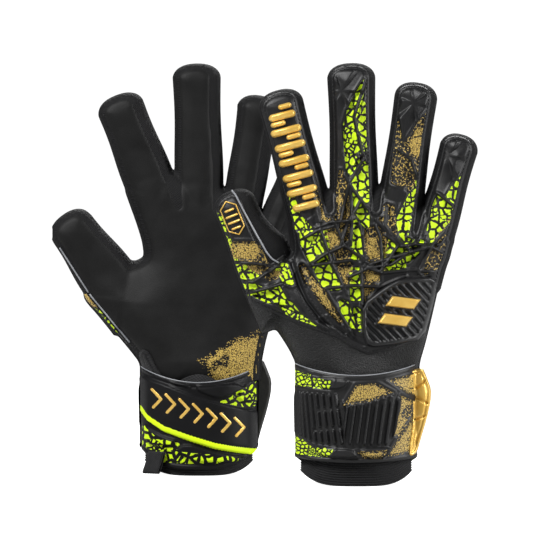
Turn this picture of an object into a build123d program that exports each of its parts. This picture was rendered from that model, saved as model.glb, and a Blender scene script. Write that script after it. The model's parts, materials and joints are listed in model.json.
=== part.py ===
from build123d import *
from math import cos, radians, sin
import os

# A pair of goalkeeper gloves, standing on their cuffs with the fingers up. Millimetres, +Z up.
# The left glove shows its palm to -Y; the right glove stands in front of it with its back to -Y.
# In each glove's own plane, u runs from the thumb side to the little finger and v runs up.

# Where each glove stands, and the side its palm faces along Y
LEFT_X = -42.2
RIGHT_X = 59.8
LEFT_Y = 57.0
RIGHT_Y = -57.0

# Laminates and running gaps
FOAM_WALL = 3.5
LINING = 0.9
BODY_GAP = 0.6
FINGER_DEPTH = 25.0
GUSSET_DEPTH = 11.0
SECTION_ROUND = 10.0
TIP_ROUND = 9.0
BASE_ROUND = 8.0
BASE_SWEEP = 2.6

# Hand block: its half depth falls in a straight line from the wrist to the knuckles
WRIST_V = 74.0
WRIST_HALF_DEPTH = 25.0
TOP_V = 205.0
TOP_HALF_DEPTH = 14.0
HAND_BEVEL = 5.0

# Wrist ellipses as (half width, half depth), and the heights of the bands
GAITER = (34.5, 25.5)
LOOP_OUT = (35.5, 26.5)
HOOK_IN = (36.0, 27.0)
STRAP_IN = (37.0, 28.0)
STRAP_OUT = (40.0, 31.0)
BANDAGE_OUT = (39.5, 30.5)
CUFF_TOP = 16.0
STRAP_TOP = 73.0
BANDAGE_LOW = 7.0
BANDAGE_TOP = 65.0
HEM_CURVE = [(9.0, 0.0), (25.0, 2.5), (36.5, 9.0)]

# Finger rows: root u, root v, lean in degrees (towards the little finger is positive), length,
# width at the root and width near the tip
LEFT_FINGERS = {
    "thumb": (-59.4, 130.5, -36.0, 49.5, 34.0, 28.0),
    "index": (-32.7, 193.4, -21.5, 59.8, 32.0, 29.5),
    "middle": (0.3, 190.1, -1.4, 79.9, 30.0, 30.0),
    "ring": (29.7, 182.2, 9.5, 67.6, 24.0, 27.0),
    "little": (51.5, 166.6, 22.0, 43.6, 21.5, 21.0),
}
RIGHT_FINGERS = {
    "thumb": (-59.5, 133.4, -22.0, 57.6, 29.0, 26.0),
    "index": (-29.5, 171.8, -15.0, 82.4, 27.5, 26.5),
    "middle": (-1.0, 176.3, -1.5, 92.5, 29.0, 29.0),
    "ring": (27.8, 171.2, 8.6, 86.0, 25.5, 26.5),
    "little": (51.4, 159.9, 16.0, 65.3, 21.5, 25.0),
}
LEFT_WEB = (-36.0, 146.0)
RIGHT_WEB = (-42.0, 146.0)
THUMB_SIDE = [(-70.0, 113.0), (-53.5, 97.0), (-43.0, 82.0), (-38.0, WRIST_V)]
ULNAR_SIDE = [(40.0, WRIST_V), (44.5, 92.0), (52.0, 118.0), (59.5, 140.0)]

# Lower border of the embossed back panel, where the mesh begins
PANEL_BORDER = [(-80.0, 119.0), (-62.0, 114.0), (-13.0, 96.0), (7.0, 84.5), (42.0, 94.0), (80.0, 101.0)]
PAD_OUTLINE = [(3.0, 116.0), (17.0, 127.0), (28.0, 131.0), (48.0, 131.0), (46.0, 116.0), (40.0, 96.0),
               (25.0, 91.0), (8.0, 88.0), (3.0, 100.0)]
PAD_HEIGHT = 2.5
EMBLEM_OUTLINE = [(18.0, 104.0), (33.0, 119.0), (38.0, 114.0), (23.0, 99.0)]
EMBLEM_HEIGHT = 2.0
BAR_HEIGHT = 1.6
BAR_COUNT = 7

# Pull tab outline on the strap's free end, and the webbing pull loop
TAB_OUTLINE = [(35.0, 70.0), (43.0, 72.0), (47.5, 61.0), (47.0, 52.0), (44.5, 41.0), (39.5, 21.0),
               (35.0, 20.0)]
TAB_DEPTH = 2.5
LOOP_ANGLE = 50.0
LOOP_WIDTH = 12.0
LOOP_LOW = 1.0
LOOP_DROP = 15.0
LOOP_DEPTH = 3.2
LOOP_SLIT = 1.2


def front_plane(x0, y0):
    """The glove's own plane: u to the right, v up, facing -Y."""
    return Plane(origin=(x0, y0, 0), x_dir=(1, 0, 0), z_dir=(0, -1, 0))


def finger_plane(x0, y0, row):
    """A plane across the finger's root, with its normal along the finger and its y along +Y."""
    u, v, lean = row[:3]
    along = (sin(radians(lean)), 0, cos(radians(lean)))
    across = (cos(radians(lean)), 0, -sin(radians(lean)))
    return Plane(origin=(x0 + u, y0, v), x_dir=across, z_dir=along)


def root_end(row, side, drop):
    """One end of the finger's root line, in the glove's plane, dropped towards the hand."""
    u, v, lean, _, width, _ = row
    reach = side * width / 2
    return (
        u + reach * cos(radians(lean)) - drop * sin(radians(lean)),
        v - reach * sin(radians(lean)) - drop * cos(radians(lean)),
    )


def half_depth(v):
    """Half depth of the hand block at height v."""
    slope = (TOP_HALF_DEPTH - WRIST_HALF_DEPTH) / (TOP_V - WRIST_V)
    return WRIST_HALF_DEPTH + slope * (v - WRIST_V)


def finger_form(plane, row, inset):
    """The closed finger form, or its cavity when inset is the wall thickness."""
    _, _, _, length, root_width, tip_width = row
    start = -BASE_SWEEP - 1 if inset else 0
    round_off = SECTION_ROUND - inset
    depth = FINGER_DEPTH - 2 * inset
    with BuildPart() as form:
        with BuildSketch(plane.offset(start)):
            RectangleRounded(root_width - 2 * inset, depth, min(round_off, root_width / 2 - inset - 0.1))
        with BuildSketch(plane.offset(length - inset)):
            RectangleRounded(tip_width - 2 * inset, depth, min(round_off, tip_width / 2 - inset - 0.1))
        loft()
        tip = form.faces().sort_by(Axis(plane.origin, plane.z_dir))[-1]
        fillet(tip.edges(), TIP_ROUND - inset)
        if not inset:
            base = form.faces().sort_by(Axis(plane.origin, plane.z_dir))[0]
            fillet(base.edges(), BASE_ROUND)
    return form.part


def hand_outline(fingers, web):
    """Corner points of the hand, from the wrist round the thumb and the finger roots."""
    points = [root_end(fingers["thumb"], -1, BASE_SWEEP), root_end(fingers["thumb"], 1, BASE_SWEEP), web]
    for name in ("index", "middle", "ring", "little"):
        points.append(root_end(fingers[name], -1, BASE_SWEEP))
        points.append(root_end(fingers[name], 1, BASE_SWEEP))
    return list(reversed(THUMB_SIDE)) + points + list(reversed(ULNAR_SIDE))


def hand_form(x0, y0, outline, inset):
    """The hand block: its outline between two sloping faces, inset or grown by an amount."""
    with BuildPart() as form:
        with BuildSketch(front_plane(x0, y0)):
            with BuildLine():
                Polyline(*outline, close=True)
            make_face()
            if inset > 0:
                offset(amount=-inset)
        extrude(amount=2 * WRIST_HALF_DEPTH, both=True)
        low = half_depth(0) - inset
        roof = TOP_V + 50
        high = half_depth(roof) - inset
        with BuildSketch(Plane.YZ.offset(x0)):
            with BuildLine():
                Polyline((y0 - low, 0), (y0 + low, 0), (y0 + high, roof), (y0 - high, roof), close=True)
            make_face()
        extrude(amount=120, both=True, mode=Mode.INTERSECT)
    return form.part


def prism(x0, y0, points, reach):
    """A prism through the glove, over an outline given in its plane."""
    with BuildPart() as block:
        with BuildSketch(front_plane(x0, y0)):
            with BuildLine():
                Polyline(*points, close=True)
            make_face()
        extrude(amount=reach, both=True)
    return block.part


def ring(x0, y0, outer, inner, low, high):
    """An elliptical tube round the wrist."""
    with BuildPart() as tube:
        with BuildSketch(Plane.XY.offset(low).move(Location((x0, y0, 0)))):
            Ellipse(*outer)
            Ellipse(*inner, mode=Mode.SUBTRACT)
        extrude(amount=high - low)
    return tube.part


def save(part, name):
    part.label = name
    export_step(part, f"parts/{name}.step")


def half_of(part, y0, side, shift):
    """The part of a piece beyond y0 + side * shift, on that side."""
    with BuildPart() as half:
        add(part)
        split(bisect_by=Plane(origin=(0, y0 + side * shift, 0), z_dir=(0, side, 0)), keep=Keep.TOP)
    return half.part


def make_finger(x0, y0, palm, glove, name, row):
    """Palm foam, side gusset and embossed back of one finger."""
    plane = finger_plane(x0, y0, row)
    with BuildPart() as shell:
        add(finger_form(plane, row, 0))
        add(finger_form(plane, row, FOAM_WALL), mode=Mode.SUBTRACT)
    save(half_of(shell.part, y0, palm, GUSSET_DEPTH / 2), f"{glove}_{name}_foam")
    save(half_of(shell.part, y0, -palm, GUSSET_DEPTH / 2), f"{glove}_{name}_back")
    with BuildPart() as gusset:
        add(shell.part)
        split(bisect_by=Plane(origin=(0, y0 - GUSSET_DEPTH / 2, 0), z_dir=(0, 1, 0)), keep=Keep.TOP)
        split(bisect_by=Plane(origin=(0, y0 + GUSSET_DEPTH / 2, 0), z_dir=(0, -1, 0)), keep=Keep.TOP)
    save(gusset.part, f"{glove}_{name}_gusset")


def make_index_bars(x0, y0, palm, glove, row):
    """Raised slanted bars along the back of the index finger."""
    plane = finger_plane(x0, y0, row)
    length = row[3]
    pitch = (length - TIP_ROUND - BASE_ROUND - 4) / BAR_COUNT
    face = Plane(
        origin=plane.origin - Vector(0, palm * FINGER_DEPTH / 2, 0),
        x_dir=plane.x_dir * palm,
        z_dir=(0, -palm, 0),
    )
    with BuildPart() as bars:
        with BuildSketch(face):
            for step in range(BAR_COUNT):
                middle = BASE_ROUND + 2 + pitch * (step + 0.5)
                with BuildLine():
                    Polyline(
                        (-7.0, middle - 0.42 * pitch),
                        (7.0, middle - 0.18 * pitch),
                        (7.0, middle + 0.42 * pitch),
                        (-7.0, middle + 0.18 * pitch),
                        close=True,
                    )
                make_face()
        extrude(amount=BAR_HEIGHT)
    save(bars.part, f"{glove}_index_bars")


def make_hand(x0, y0, palm, glove, fingers, web):
    """Palm foam, back panel, mesh, lining, punch pad and emblem."""
    outline = hand_outline(fingers, web)
    block = hand_form(x0, y0, outline, 0)
    cavity = hand_form(x0, y0, outline, FOAM_WALL)
    inside = hand_form(x0, y0, outline, FOAM_WALL + LINING)
    with BuildPart() as ways:
        for row in fingers.values():
            plane = finger_plane(x0, y0, row)
            width = row[4] - 2 * FOAM_WALL
            depth = FINGER_DEPTH - 2 * FOAM_WALL
            with BuildSketch(plane.offset(-14)):
                RectangleRounded(width, depth, 4)
            extrude(amount=14)
        with BuildSketch(Plane.XY.offset(WRIST_V - 1).move(Location((x0, y0, 0)))):
            Ellipse(GAITER[0] - 3, GAITER[1] - 3)
        extrude(amount=12)
    with BuildPart() as clear:
        for row in fingers.values():
            with BuildSketch(finger_plane(x0, y0, row).offset(-BASE_SWEEP)):
                Rectangle(row[4] + 2 * BODY_GAP, 80)
            extrude(amount=30)
    with BuildPart() as shell:
        add(block)
        broad = shell.faces().filter_by(lambda face: abs(face.normal_at().Y) > 0.9).edges()
        thumb_edges = broad.filter_by(lambda edge: edge.center().X < x0 - 39 and edge.center().Z < 115)
        ulnar_edges = broad.filter_by(lambda edge: edge.center().X > x0 + 41 and edge.center().Z < 155)
        chamfer(thumb_edges + ulnar_edges, HAND_BEVEL)
        add(cavity, mode=Mode.SUBTRACT)
        add(ways.part, mode=Mode.SUBTRACT)
        add(clear.part, mode=Mode.SUBTRACT)
    save(half_of(shell.part, y0, palm, 0), f"{glove}_palm_foam")
    back = half_of(shell.part, y0, -palm, 0)
    below = prism(x0, y0, PANEL_BORDER + [(80.0, 0.0), (-80.0, 0.0)], 60)
    with BuildPart() as panel:
        add(back)
        add(below, mode=Mode.SUBTRACT)
    save(panel.part, f"{glove}_back_panel")
    with BuildPart() as mesh:
        add(back)
        add(below, mode=Mode.INTERSECT)
    save(mesh.part, f"{glove}_back_mesh")
    with BuildPart() as lining:
        add(cavity)
        add(inside, mode=Mode.SUBTRACT)
        add(ways.part, mode=Mode.SUBTRACT)
        add(clear.part, mode=Mode.SUBTRACT)
    save(lining.part, f"{glove}_hand_lining")
    pad_top = hand_form(x0, y0, outline, -PAD_HEIGHT)
    with BuildPart() as pad:
        add(half_of(prism(x0, y0, PAD_OUTLINE, 60), y0, -palm, 5))
        add(pad_top, mode=Mode.INTERSECT)
        add(block, mode=Mode.SUBTRACT)
    save(pad.part, f"{glove}_punch_pad")
    with BuildPart() as emblem:
        add(half_of(prism(x0, y0, EMBLEM_OUTLINE, 60), y0, -palm, 5))
        add(hand_form(x0, y0, outline, -PAD_HEIGHT - EMBLEM_HEIGHT), mode=Mode.INTERSECT)
        add(pad_top, mode=Mode.SUBTRACT)
    save(emblem.part, f"{glove}_emblem")


def make_wrist(x0, y0, palm, glove):
    """Gaiter, elastic cuff, padded bandage, strap with its tab, and the closure's two patches."""
    gaiter_in = (GAITER[0] - 2, GAITER[1] - 2)
    save(ring(x0, y0, GAITER, gaiter_in, CUFF_TOP, WRIST_V), f"{glove}_wrist_gaiter")
    with BuildPart() as cuff:
        add(ring(x0, y0, GAITER, (GAITER[0] - 2.5, GAITER[1] - 2.5), 0, CUFF_TOP))
        with BuildSketch(front_plane(x0, y0)):
            for way in (-1, 1):
                hem = [(way * u, v) for u, v in HEM_CURVE]
                with BuildLine():
                    Polyline(*hem, (hem[-1][0], -1), (hem[0][0], -1), close=True)
                make_face()
        extrude(amount=60, both=True, mode=Mode.SUBTRACT)
    save(cuff.part, f"{glove}_elastic_cuff")
    bandage = half_of(ring(x0, y0, BANDAGE_OUT, GAITER, BANDAGE_LOW, BANDAGE_TOP), y0, palm, 3)
    save(bandage, f"{glove}_bandage")
    strap = half_of(ring(x0, y0, STRAP_OUT, STRAP_IN, CUFF_TOP, STRAP_TOP), y0, -palm, 0)
    save(strap, f"{glove}_strap")
    patch = prism(x0, y0, [(8, 24), (33, 24), (33, 66), (8, 66)], 60)
    with BuildPart() as hooks:
        add(half_of(ring(x0, y0, STRAP_IN, HOOK_IN, CUFF_TOP, STRAP_TOP), y0, -palm, 2))
        add(patch, mode=Mode.INTERSECT)
    save(hooks.part, f"{glove}_hook_patch")
    with BuildPart() as loops:
        add(half_of(ring(x0, y0, LOOP_OUT, GAITER, CUFF_TOP, STRAP_TOP), y0, -palm, 2))
        add(patch, mode=Mode.INTERSECT)
    save(loops.part, f"{glove}_loop_patch")
    with BuildPart() as tab:
        with BuildSketch(front_plane(x0, y0).offset(palm * (2 + TAB_DEPTH / 2))):
            with BuildLine():
                Polyline(*TAB_OUTLINE, close=True)
            make_face()
        extrude(amount=TAB_DEPTH / 2, both=True)
        with BuildSketch(Plane.XY.move(Location((x0, y0, 0)))):
            Ellipse(*STRAP_OUT)
        extrude(amount=100, mode=Mode.SUBTRACT)
    save(tab.part, f"{glove}_strap_tab")


def make_pull_loop(x0, y0, palm, glove):
    """A folded webbing loop that hangs outside the bandage, on the thumb side of the palm."""
    turn = radians(LOOP_ANGLE)
    out = Vector(-cos(turn) / BANDAGE_OUT[0], palm * sin(turn) / BANDAGE_OUT[1], 0).normalized()
    foot = Vector(x0 - BANDAGE_OUT[0] * cos(turn), y0 + palm * BANDAGE_OUT[1] * sin(turn), 0)
    flat = Plane(origin=foot + out * (BODY_GAP + LOOP_DEPTH / 2), x_dir=out, z_dir=out.cross(Vector(0, 0, 1)))
    with BuildPart() as loop:
        with BuildSketch(flat):
            with Locations((0, LOOP_LOW + LOOP_DROP / 2)):
                RectangleRounded(LOOP_DEPTH, LOOP_DROP, LOOP_DEPTH / 2 - 0.1)
                Rectangle(LOOP_SLIT, LOOP_DROP - 5, mode=Mode.SUBTRACT)
        extrude(amount=LOOP_WIDTH / 2, both=True)
    save(loop.part, f"{glove}_pull_loop")


def make_glove(x0, y0, palm, glove, fingers, web):
    make_hand(x0, y0, palm, glove, fingers, web)
    make_wrist(x0, y0, palm, glove)
    make_pull_loop(x0, y0, palm, glove)
    for name, row in fingers.items():
        make_finger(x0, y0, palm, glove, name, row)
    make_index_bars(x0, y0, palm, glove, fingers["index"])


os.makedirs("parts", exist_ok=True)
make_glove(LEFT_X, LEFT_Y, -1, "left", LEFT_FINGERS, LEFT_WEB)
make_glove(RIGHT_X, RIGHT_Y, 1, "right", RIGHT_FINGERS, RIGHT_WEB)
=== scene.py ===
import json
import math

import bpy
import numpy as np
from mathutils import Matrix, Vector, noise
from mathutils.geometry import delaunay_2d_cdt

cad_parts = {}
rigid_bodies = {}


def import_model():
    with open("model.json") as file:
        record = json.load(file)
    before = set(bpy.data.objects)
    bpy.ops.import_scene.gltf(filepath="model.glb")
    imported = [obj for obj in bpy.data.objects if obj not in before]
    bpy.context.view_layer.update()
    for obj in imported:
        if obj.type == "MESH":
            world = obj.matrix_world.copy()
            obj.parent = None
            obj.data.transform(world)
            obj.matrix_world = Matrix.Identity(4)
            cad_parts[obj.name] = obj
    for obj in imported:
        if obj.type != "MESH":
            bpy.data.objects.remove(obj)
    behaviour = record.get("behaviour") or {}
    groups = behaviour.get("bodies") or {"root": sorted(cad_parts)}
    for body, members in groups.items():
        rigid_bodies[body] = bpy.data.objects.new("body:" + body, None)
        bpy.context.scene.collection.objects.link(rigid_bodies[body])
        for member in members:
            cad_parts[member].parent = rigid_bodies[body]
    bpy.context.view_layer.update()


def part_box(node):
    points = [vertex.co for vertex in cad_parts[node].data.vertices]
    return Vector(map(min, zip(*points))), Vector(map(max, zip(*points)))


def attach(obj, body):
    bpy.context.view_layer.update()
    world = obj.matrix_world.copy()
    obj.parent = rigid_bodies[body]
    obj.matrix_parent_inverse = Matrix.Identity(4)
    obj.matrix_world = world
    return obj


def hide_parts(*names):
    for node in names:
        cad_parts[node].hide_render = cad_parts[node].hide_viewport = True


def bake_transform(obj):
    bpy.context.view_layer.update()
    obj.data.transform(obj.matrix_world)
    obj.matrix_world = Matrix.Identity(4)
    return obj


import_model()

MM = 0.001

# ---------------------------------------------------------------- sizes, in mm
# Each glove lies in a plane of its own: u runs across it and v up from the floor. x0 and y0 place that plane.
# palm is the direction of y that its palm looks in. A finger row is root u, root v, lean in degrees, length,
# root width and tip width. The hand's outline runs up the thumb side, round the web, along the finger roots
# (top) and down the ulnar side. palm_top and back_top take the place of top for the palm and back sheets.
GLOVES = {
    "left": {
        "x0": -42.2, "y0": 57.0, "palm": -1,
        "rows": {
            "thumb": (-60.4, 129.8, -36.0, 49.8, 36.5, 28.2),
            "index": (-32.7, 193.4, -21.5, 59.8, 32.0, 29.5),
            "middle": (0.3, 190.1, -1.4, 79.9, 30.0, 30.0),
            "ring": (29.7, 182.2, 9.5, 67.6, 24.0, 27.0),
            "little": (51.5, 166.6, 22.0, 43.6, 21.5, 21.0),
        },
        "thumb_side": [(-38, 40), (-37.5, 72), (-44.8, 81.5), (-55.2, 94), (-66.5, 106), (-73.5, 113),
            (-76, 118.5)],
        "web": [(-45, 139.5), (-40, 140.5), (-35.6, 143.5), (-37, 154), (-41, 167.6), (-46, 182),
            (-47.6, 187.6)],
        "top": [(-34, 196), (-17, 200), (-6, 193), (0, 192), (7, 190), (15.5, 189), (28, 183),
            (39.3, 171), (50, 168)],
        "palm_top": [(-34, 186), (-26, 184), (-15.8, 178), (0, 181), (16, 174.5), (28, 173), (39, 158.5),
            (50, 158)],
        "back_top": [(-34, 188), (-26, 186), (-15.8, 181), (0, 184), (16, 178), (28, 175), (39, 161),
            (50, 160)],
        "ulnar_side": [(61.5, 162.5), (63.5, 148), (60, 128), (53, 112), (48.2, 103), (43.6, 88.4),
            (40.3, 71), (39.5, 40)],
    },
    "right": {
        "x0": 59.8, "y0": -57.0, "palm": 1,
        "rows": {
            "thumb": (-59.5, 133.4, -22.0, 57.6, 29.0, 26.0),
            "index": (-29.2, 171.8, -14.9, 82.4, 28.2, 27.2),
            "middle": (-1.0, 176.3, -1.5, 92.5, 29.0, 29.0),
            "ring": (27.0, 171.2, 8.3, 86.0, 27.4, 25.6),
            "little": (50.3, 160.2, 15.6, 65.3, 24.0, 23.0),
        },
        "thumb_side": [(-37.5, 40), (-37.5, 76), (-42, 86), (-50, 98.5), (-59, 109), (-67.8, 120),
            (-73, 128)],
        "web": [(-43.2, 152), (-44.5, 145), (-41.6, 148), (-41.6, 156.5), (-42.8, 168.2)],
        "top": [(-30, 178), (-17.5, 189), (-8, 184), (-1, 183), (6, 184), (14.6, 192), (22, 184),
            (30, 181), (41.5, 179), (50, 168)],
        "palm_top": [(-28, 168), (-16, 170), (0, 172), (14, 170), (27, 165), (39.7, 154), (50, 154)],
        "back_top": [(-28, 170), (-16, 176), (0, 178), (14.3, 176), (27, 171), (39.8, 158.6), (50, 158)],
        "ulnar_side": [(61.7, 157), (59.5, 151), (58.6, 145), (54.5, 138), (51.8, 124.5), (47.4, 105.3),
            (43.5, 89.3), (39.5, 76), (38.5, 40)],
    },
}
NAMES = ["thumb", "index", "middle", "ring", "little"]
# Half thickness of the shell and reach of its rounded edge at heights above the floor
DEPTH_V = [60, 74, 90, 110, 140, 170, 200, 215, 290]
DEPTH_H = [26.4, 26.4, 24, 21, 18, 15.5, 13.2, 12.6, 11.8]
ROUND_R = [50, 39, 36, 33, 28, 20, 15, 13.6, 13.0]
# Half thickness that the shell keeps at its very outline
WALL_V = [60, 76, 105, 140, 290]
WALL_H = [0.2, 0.4, 2.5, 4.0, 4.2]
# Corners of the grids that the sheets are cut from
LO, HI = (-96, 62), (88, 274)

# Coloured zones of the backhand, given on the right glove in its plane
LIME = [
    [(6.5, 259), (0.5, 249.5), (-4.5, 238.5), (-7, 230), (-6.5, 214), (-5, 200.5), (0, 213), (-1.5, 227),
     (2, 243)],
    [(6, 244), (7, 230), (6.5, 215.5), (2.5, 213), (0.5, 220.5), (2.5, 234.5)],
    [(6.5, 211), (6.5, 182), (2.5, 184.5), (-3, 193.5), (-2.5, 200), (2, 206)],
    [(-3, 186.5), (2, 179.5), (6.5, 177), (6.5, 165.5), (2, 170), (-1.5, 178)],
    [(41.5, 200), (40.5, 184.5), (33.5, 173), (27, 169.5), (32, 180), (38, 191)],
    [(72.5, 202), (70.5, 192.5), (64.5, 184), (57.5, 182.5), (62, 190)],
    [(52, 183.5), (64, 181), (60, 174), (48.5, 168.5), (49.5, 177)],
    [(47.5, 168), (60, 171), (54.5, 165), (47.5, 156.5), (46, 161.5)],
    [(-36, 170.5), (-30, 164), (-24.5, 156.5), (-20, 149), (-18.5, 142.5), (-28, 142.5), (-34, 154)],
    [(-41.5, 185.5), (-38, 174.5), (-37, 163), (-40.5, 168)],
    [(-25.5, 163), (-20.5, 164), (-18.5, 151.5), (-22, 149.5)],
    [(-28, 142), (-18, 147.5), (-15.5, 140), (-27, 140)],
    [(-3, 166.5), (0, 168), (2.5, 145), (-2.5, 145.5)],
    [(27, 167.5), (34, 173), (32, 161.5), (29, 156)],
    [(22.5, 159), (29, 149), (30, 140), (17.5, 138.5), (20, 149)],
    [(30.5, 156.5), (41.5, 155), (36, 152), (30.5, 152.5)],
    [(30.5, 149.5), (38.5, 149.5), (32.5, 143.5)],
    [(-25.5, 137.5), (-15.5, 138.5), (-13, 131), (-11.5, 126), (-19, 126), (-23, 131.5)],
    [(-3, 137.5), (1.5, 137.5), (2, 119.5), (-2.5, 119.5)],
    [(-10, 117.5), (-6.5, 116), (-2.5, 102), (-6, 102.5)],
    [(-0.5, 112.5), (1.5, 111), (2, 100), (-0.5, 101.5)],
    [(-48.5, 118), (-42, 115.5), (-36, 108), (-27, 102.5), (-38, 105.5), (-45, 111)],
    [(-80.5, 141), (-72.5, 140), (-63.5, 133), (-66.5, 131), (-77, 131.5)],
    [(-77, 129.5), (-67, 127.5), (-68, 122), (-71.5, 124)],
    [(-66.5, 127.5), (-57.5, 124), (-48.5, 118.5), (-56.5, 118), (-66, 122)],
    [(-56.5, 125), (-51, 127.5), (-46, 118.5), (-52.5, 120)],
    [(-52, 141), (-45, 140), (-41.5, 129.5), (-46, 131)],
    [(-93, 174), (-86.6, 171), (-84.4, 163), (-80, 152), (-76.5, 143), (-84, 138), (-92, 152)],
]
GOLD = [
    [(-10, 199.5), (-6.5, 192.5), (-6, 170), (-12, 170), (-11.5, 185.5)],
    [(9.5, 238.5), (11.5, 238.5), (11, 213), (9.5, 214)],
    [(25.5, 232), (28.5, 214), (30.5, 192), (23.5, 194), (25, 210)],
    [(31.5, 218), (36, 206), (38, 192), (32.5, 189)],
    [(48, 241), (46.5, 225.5), (35, 222), (41, 231.5)],
    [(34, 220.5), (43.5, 222), (43, 213), (38.5, 200.5), (35, 210)],
    [(18.5, 178), (22.5, 177), (23.5, 170.5), (19, 172)],
    [(62, 172), (64, 165.5), (61, 156.5), (47.5, 152.5), (52.5, 159)],
    [(-20, 163.5), (-6, 168), (-6.5, 158), (-14.5, 150), (-18, 156.5)],
    [(-25, 186), (-20, 177), (-14.5, 170.5), (-20.5, 168.5)],
    [(-13, 149.5), (-7, 152), (-4, 140.5), (-12, 141)],
    [(6.5, 163), (13, 164), (19, 156.5), (18, 138.5), (11.5, 139), (6.5, 150)],
    [(15.5, 169.5), (23, 170), (24.5, 161.5), (20, 160.5)],
    [(41.5, 138.5), (46, 149), (57, 152), (57.5, 145), (52, 138.5), (43.5, 136)],
    [(-11.5, 137.5), (-4, 138), (-4, 129.5), (-10, 129.5)],
    [(4.5, 136), (13, 136), (13, 131), (4.5, 130)],
    [(4.5, 127), (11.5, 128.5), (5, 118.5)],
    [(-35, 140), (-30, 133), (-23, 125), (-31.5, 130)],
    [(-28, 126), (-19, 124), (-16, 116), (-9.5, 104.5), (-21, 116)],
    [(-83, 154), (-64, 154), (-55, 142.5), (-80, 142.5)],
    [(-71.5, 141), (-56.5, 140.5), (-62.5, 135.5)],
    [(-59, 134), (-51, 138.5), (-48, 133.5), (-55, 132)],
]
# Where the gold is scattered flecks
LOOSE = [
    [(22, 240), (32.5, 240), (33, 186), (20, 186)],
    [(31, 213), (44, 208), (40, 190), (31, 190)],
    [(14, 172), (26, 172), (26, 158), (8, 158), (5, 166)],
    [(40, 152), (60, 154), (60, 134), (40, 134)],
    [(-14, 152), (-3, 152), (-3, 139), (-14, 139)],
]
# Points where the raised black strokes of the backhand meet, and how high they stand
NODES = [(-29, 142, 1.3), (-4, 169, 1.4), (15, 137, 1.5), (47, 152, 1.3), (-26, 127, 1.2), (3, 116, 0.8),
         (-45, 128, 0.9), (30, 160, 1.1), (-12, 140, 1.0), (5, 206, 1.2), (36, 200, 1.0), (60, 182, 1.0),
         (-60, 141, 0.9), (-14, 168, 0.8)]
STROKES = [
    [(-26.2, 164.2), (-16.6, 167.7), (-5.4, 168.8), (-0.6, 175.7), (2.6, 182.1)],
    [(-31, 140.2), (-19.8, 147.7), (-7.8, 153), (2.6, 145.3), (15.4, 136)],
    [(-7.8, 198.1), (-2.2, 188.5), (10.6, 171.7), (21.8, 159.7), (36.2, 148.5)],
    [(12.2, 219.7), (4.2, 207.7), (-4.6, 193.3), (-10.2, 169.3)],
    [(-5.4, 169.3), (-10.2, 153.3)],
    [(-3.8, 188.5), (-3, 169.3), (-3.8, 153.3)],
    [(19.4, 177.3), (17.8, 166.1), (26.6, 153.3), (15.4, 137.3)],
    [(47.4, 152.5), (37.8, 154.1), (28.2, 152.5), (18.6, 159.7)],
    [(-31, 140.2), (-3.8, 143.7), (15.4, 135.7), (36.2, 137.6), (53.8, 135.7)],
    [(-19.8, 125.8), (-2.2, 127.7), (15.4, 126.9), (31.4, 133.8)],
    [(41, 169.3), (37.8, 154.1)],
    [(61.8, 167.7), (47.4, 152.5), (39.4, 135.7)],
    [(-23, 185.3), (-13.4, 166.1), (-7.8, 153)],
    [(2.6, 145.3), (3.4, 127.7), (3.8, 112)],
    [(-19.8, 125.8), (-12, 112), (-2, 96)],
    [(6.8, 261), (-1.8, 235), (3.4, 213), (7, 206)],
    [(26.6, 214), (35, 208), (41, 188)],
    [(51, 187), (62, 178), (66, 166)],
    [(-33, 158), (-24, 163), (-12, 166)],
    [(-26, 176), (-22, 160), (-16, 142), (-6, 122)],
    [(10, 171), (15, 158), (16.5, 140)],
    [(8, 141), (24, 146), (46, 152)],
    [(-5, 133), (8, 139), (22, 141), (34, 149)],
    [(52, 153), (64, 162), (70, 174)],
    [(47, 152.5), (56, 148), (60, 140)],
    [(-84, 142.5), (-64, 141.5), (-50, 139.5)],
    [(-78, 131), (-66, 129.5), (-52, 139)],
    [(-72, 122), (-56, 126), (-47, 129)],
]
# Sewn groove beside the thumb, the punching pad with its two bars, and the lower edge of the back panel
SEAM = [(-44, 151), (-40.5, 139.5), (-36.5, 127.7), (-32, 118), (-23, 106.6), (-11.5, 94.5)]
PAD = [(2.5, 99), (2.5, 116), (17.5, 127.5), (28, 133), (52, 133.5), (50, 118), (43, 93.5), (25, 89.5),
       (7, 87.5)]
EMBLEM = [(17.5, 114.5), (22.5, 121.5), (41.5, 119), (36.5, 112)]
EMBLEM_LOW = [(12.5, 103.5), (17.5, 110.5), (36.5, 108), (31.5, 101)]
BORDER = [(-95, 126), (-74, 118), (-62.5, 114), (-38, 103), (-13, 94.5), (-4, 88.5), (7, 83.5), (25, 87),
          (42, 94), (60, 99)]
# Gold print at the heel of the palm
PALM_PRINT = [(-1, 76), (8, 80.5), (17, 85.5), (24, 90.5), (33.5, 92), (44, 99), (48, 95), (44, 82),
              (42, 58), (9, 58), (5, 70)]

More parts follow.
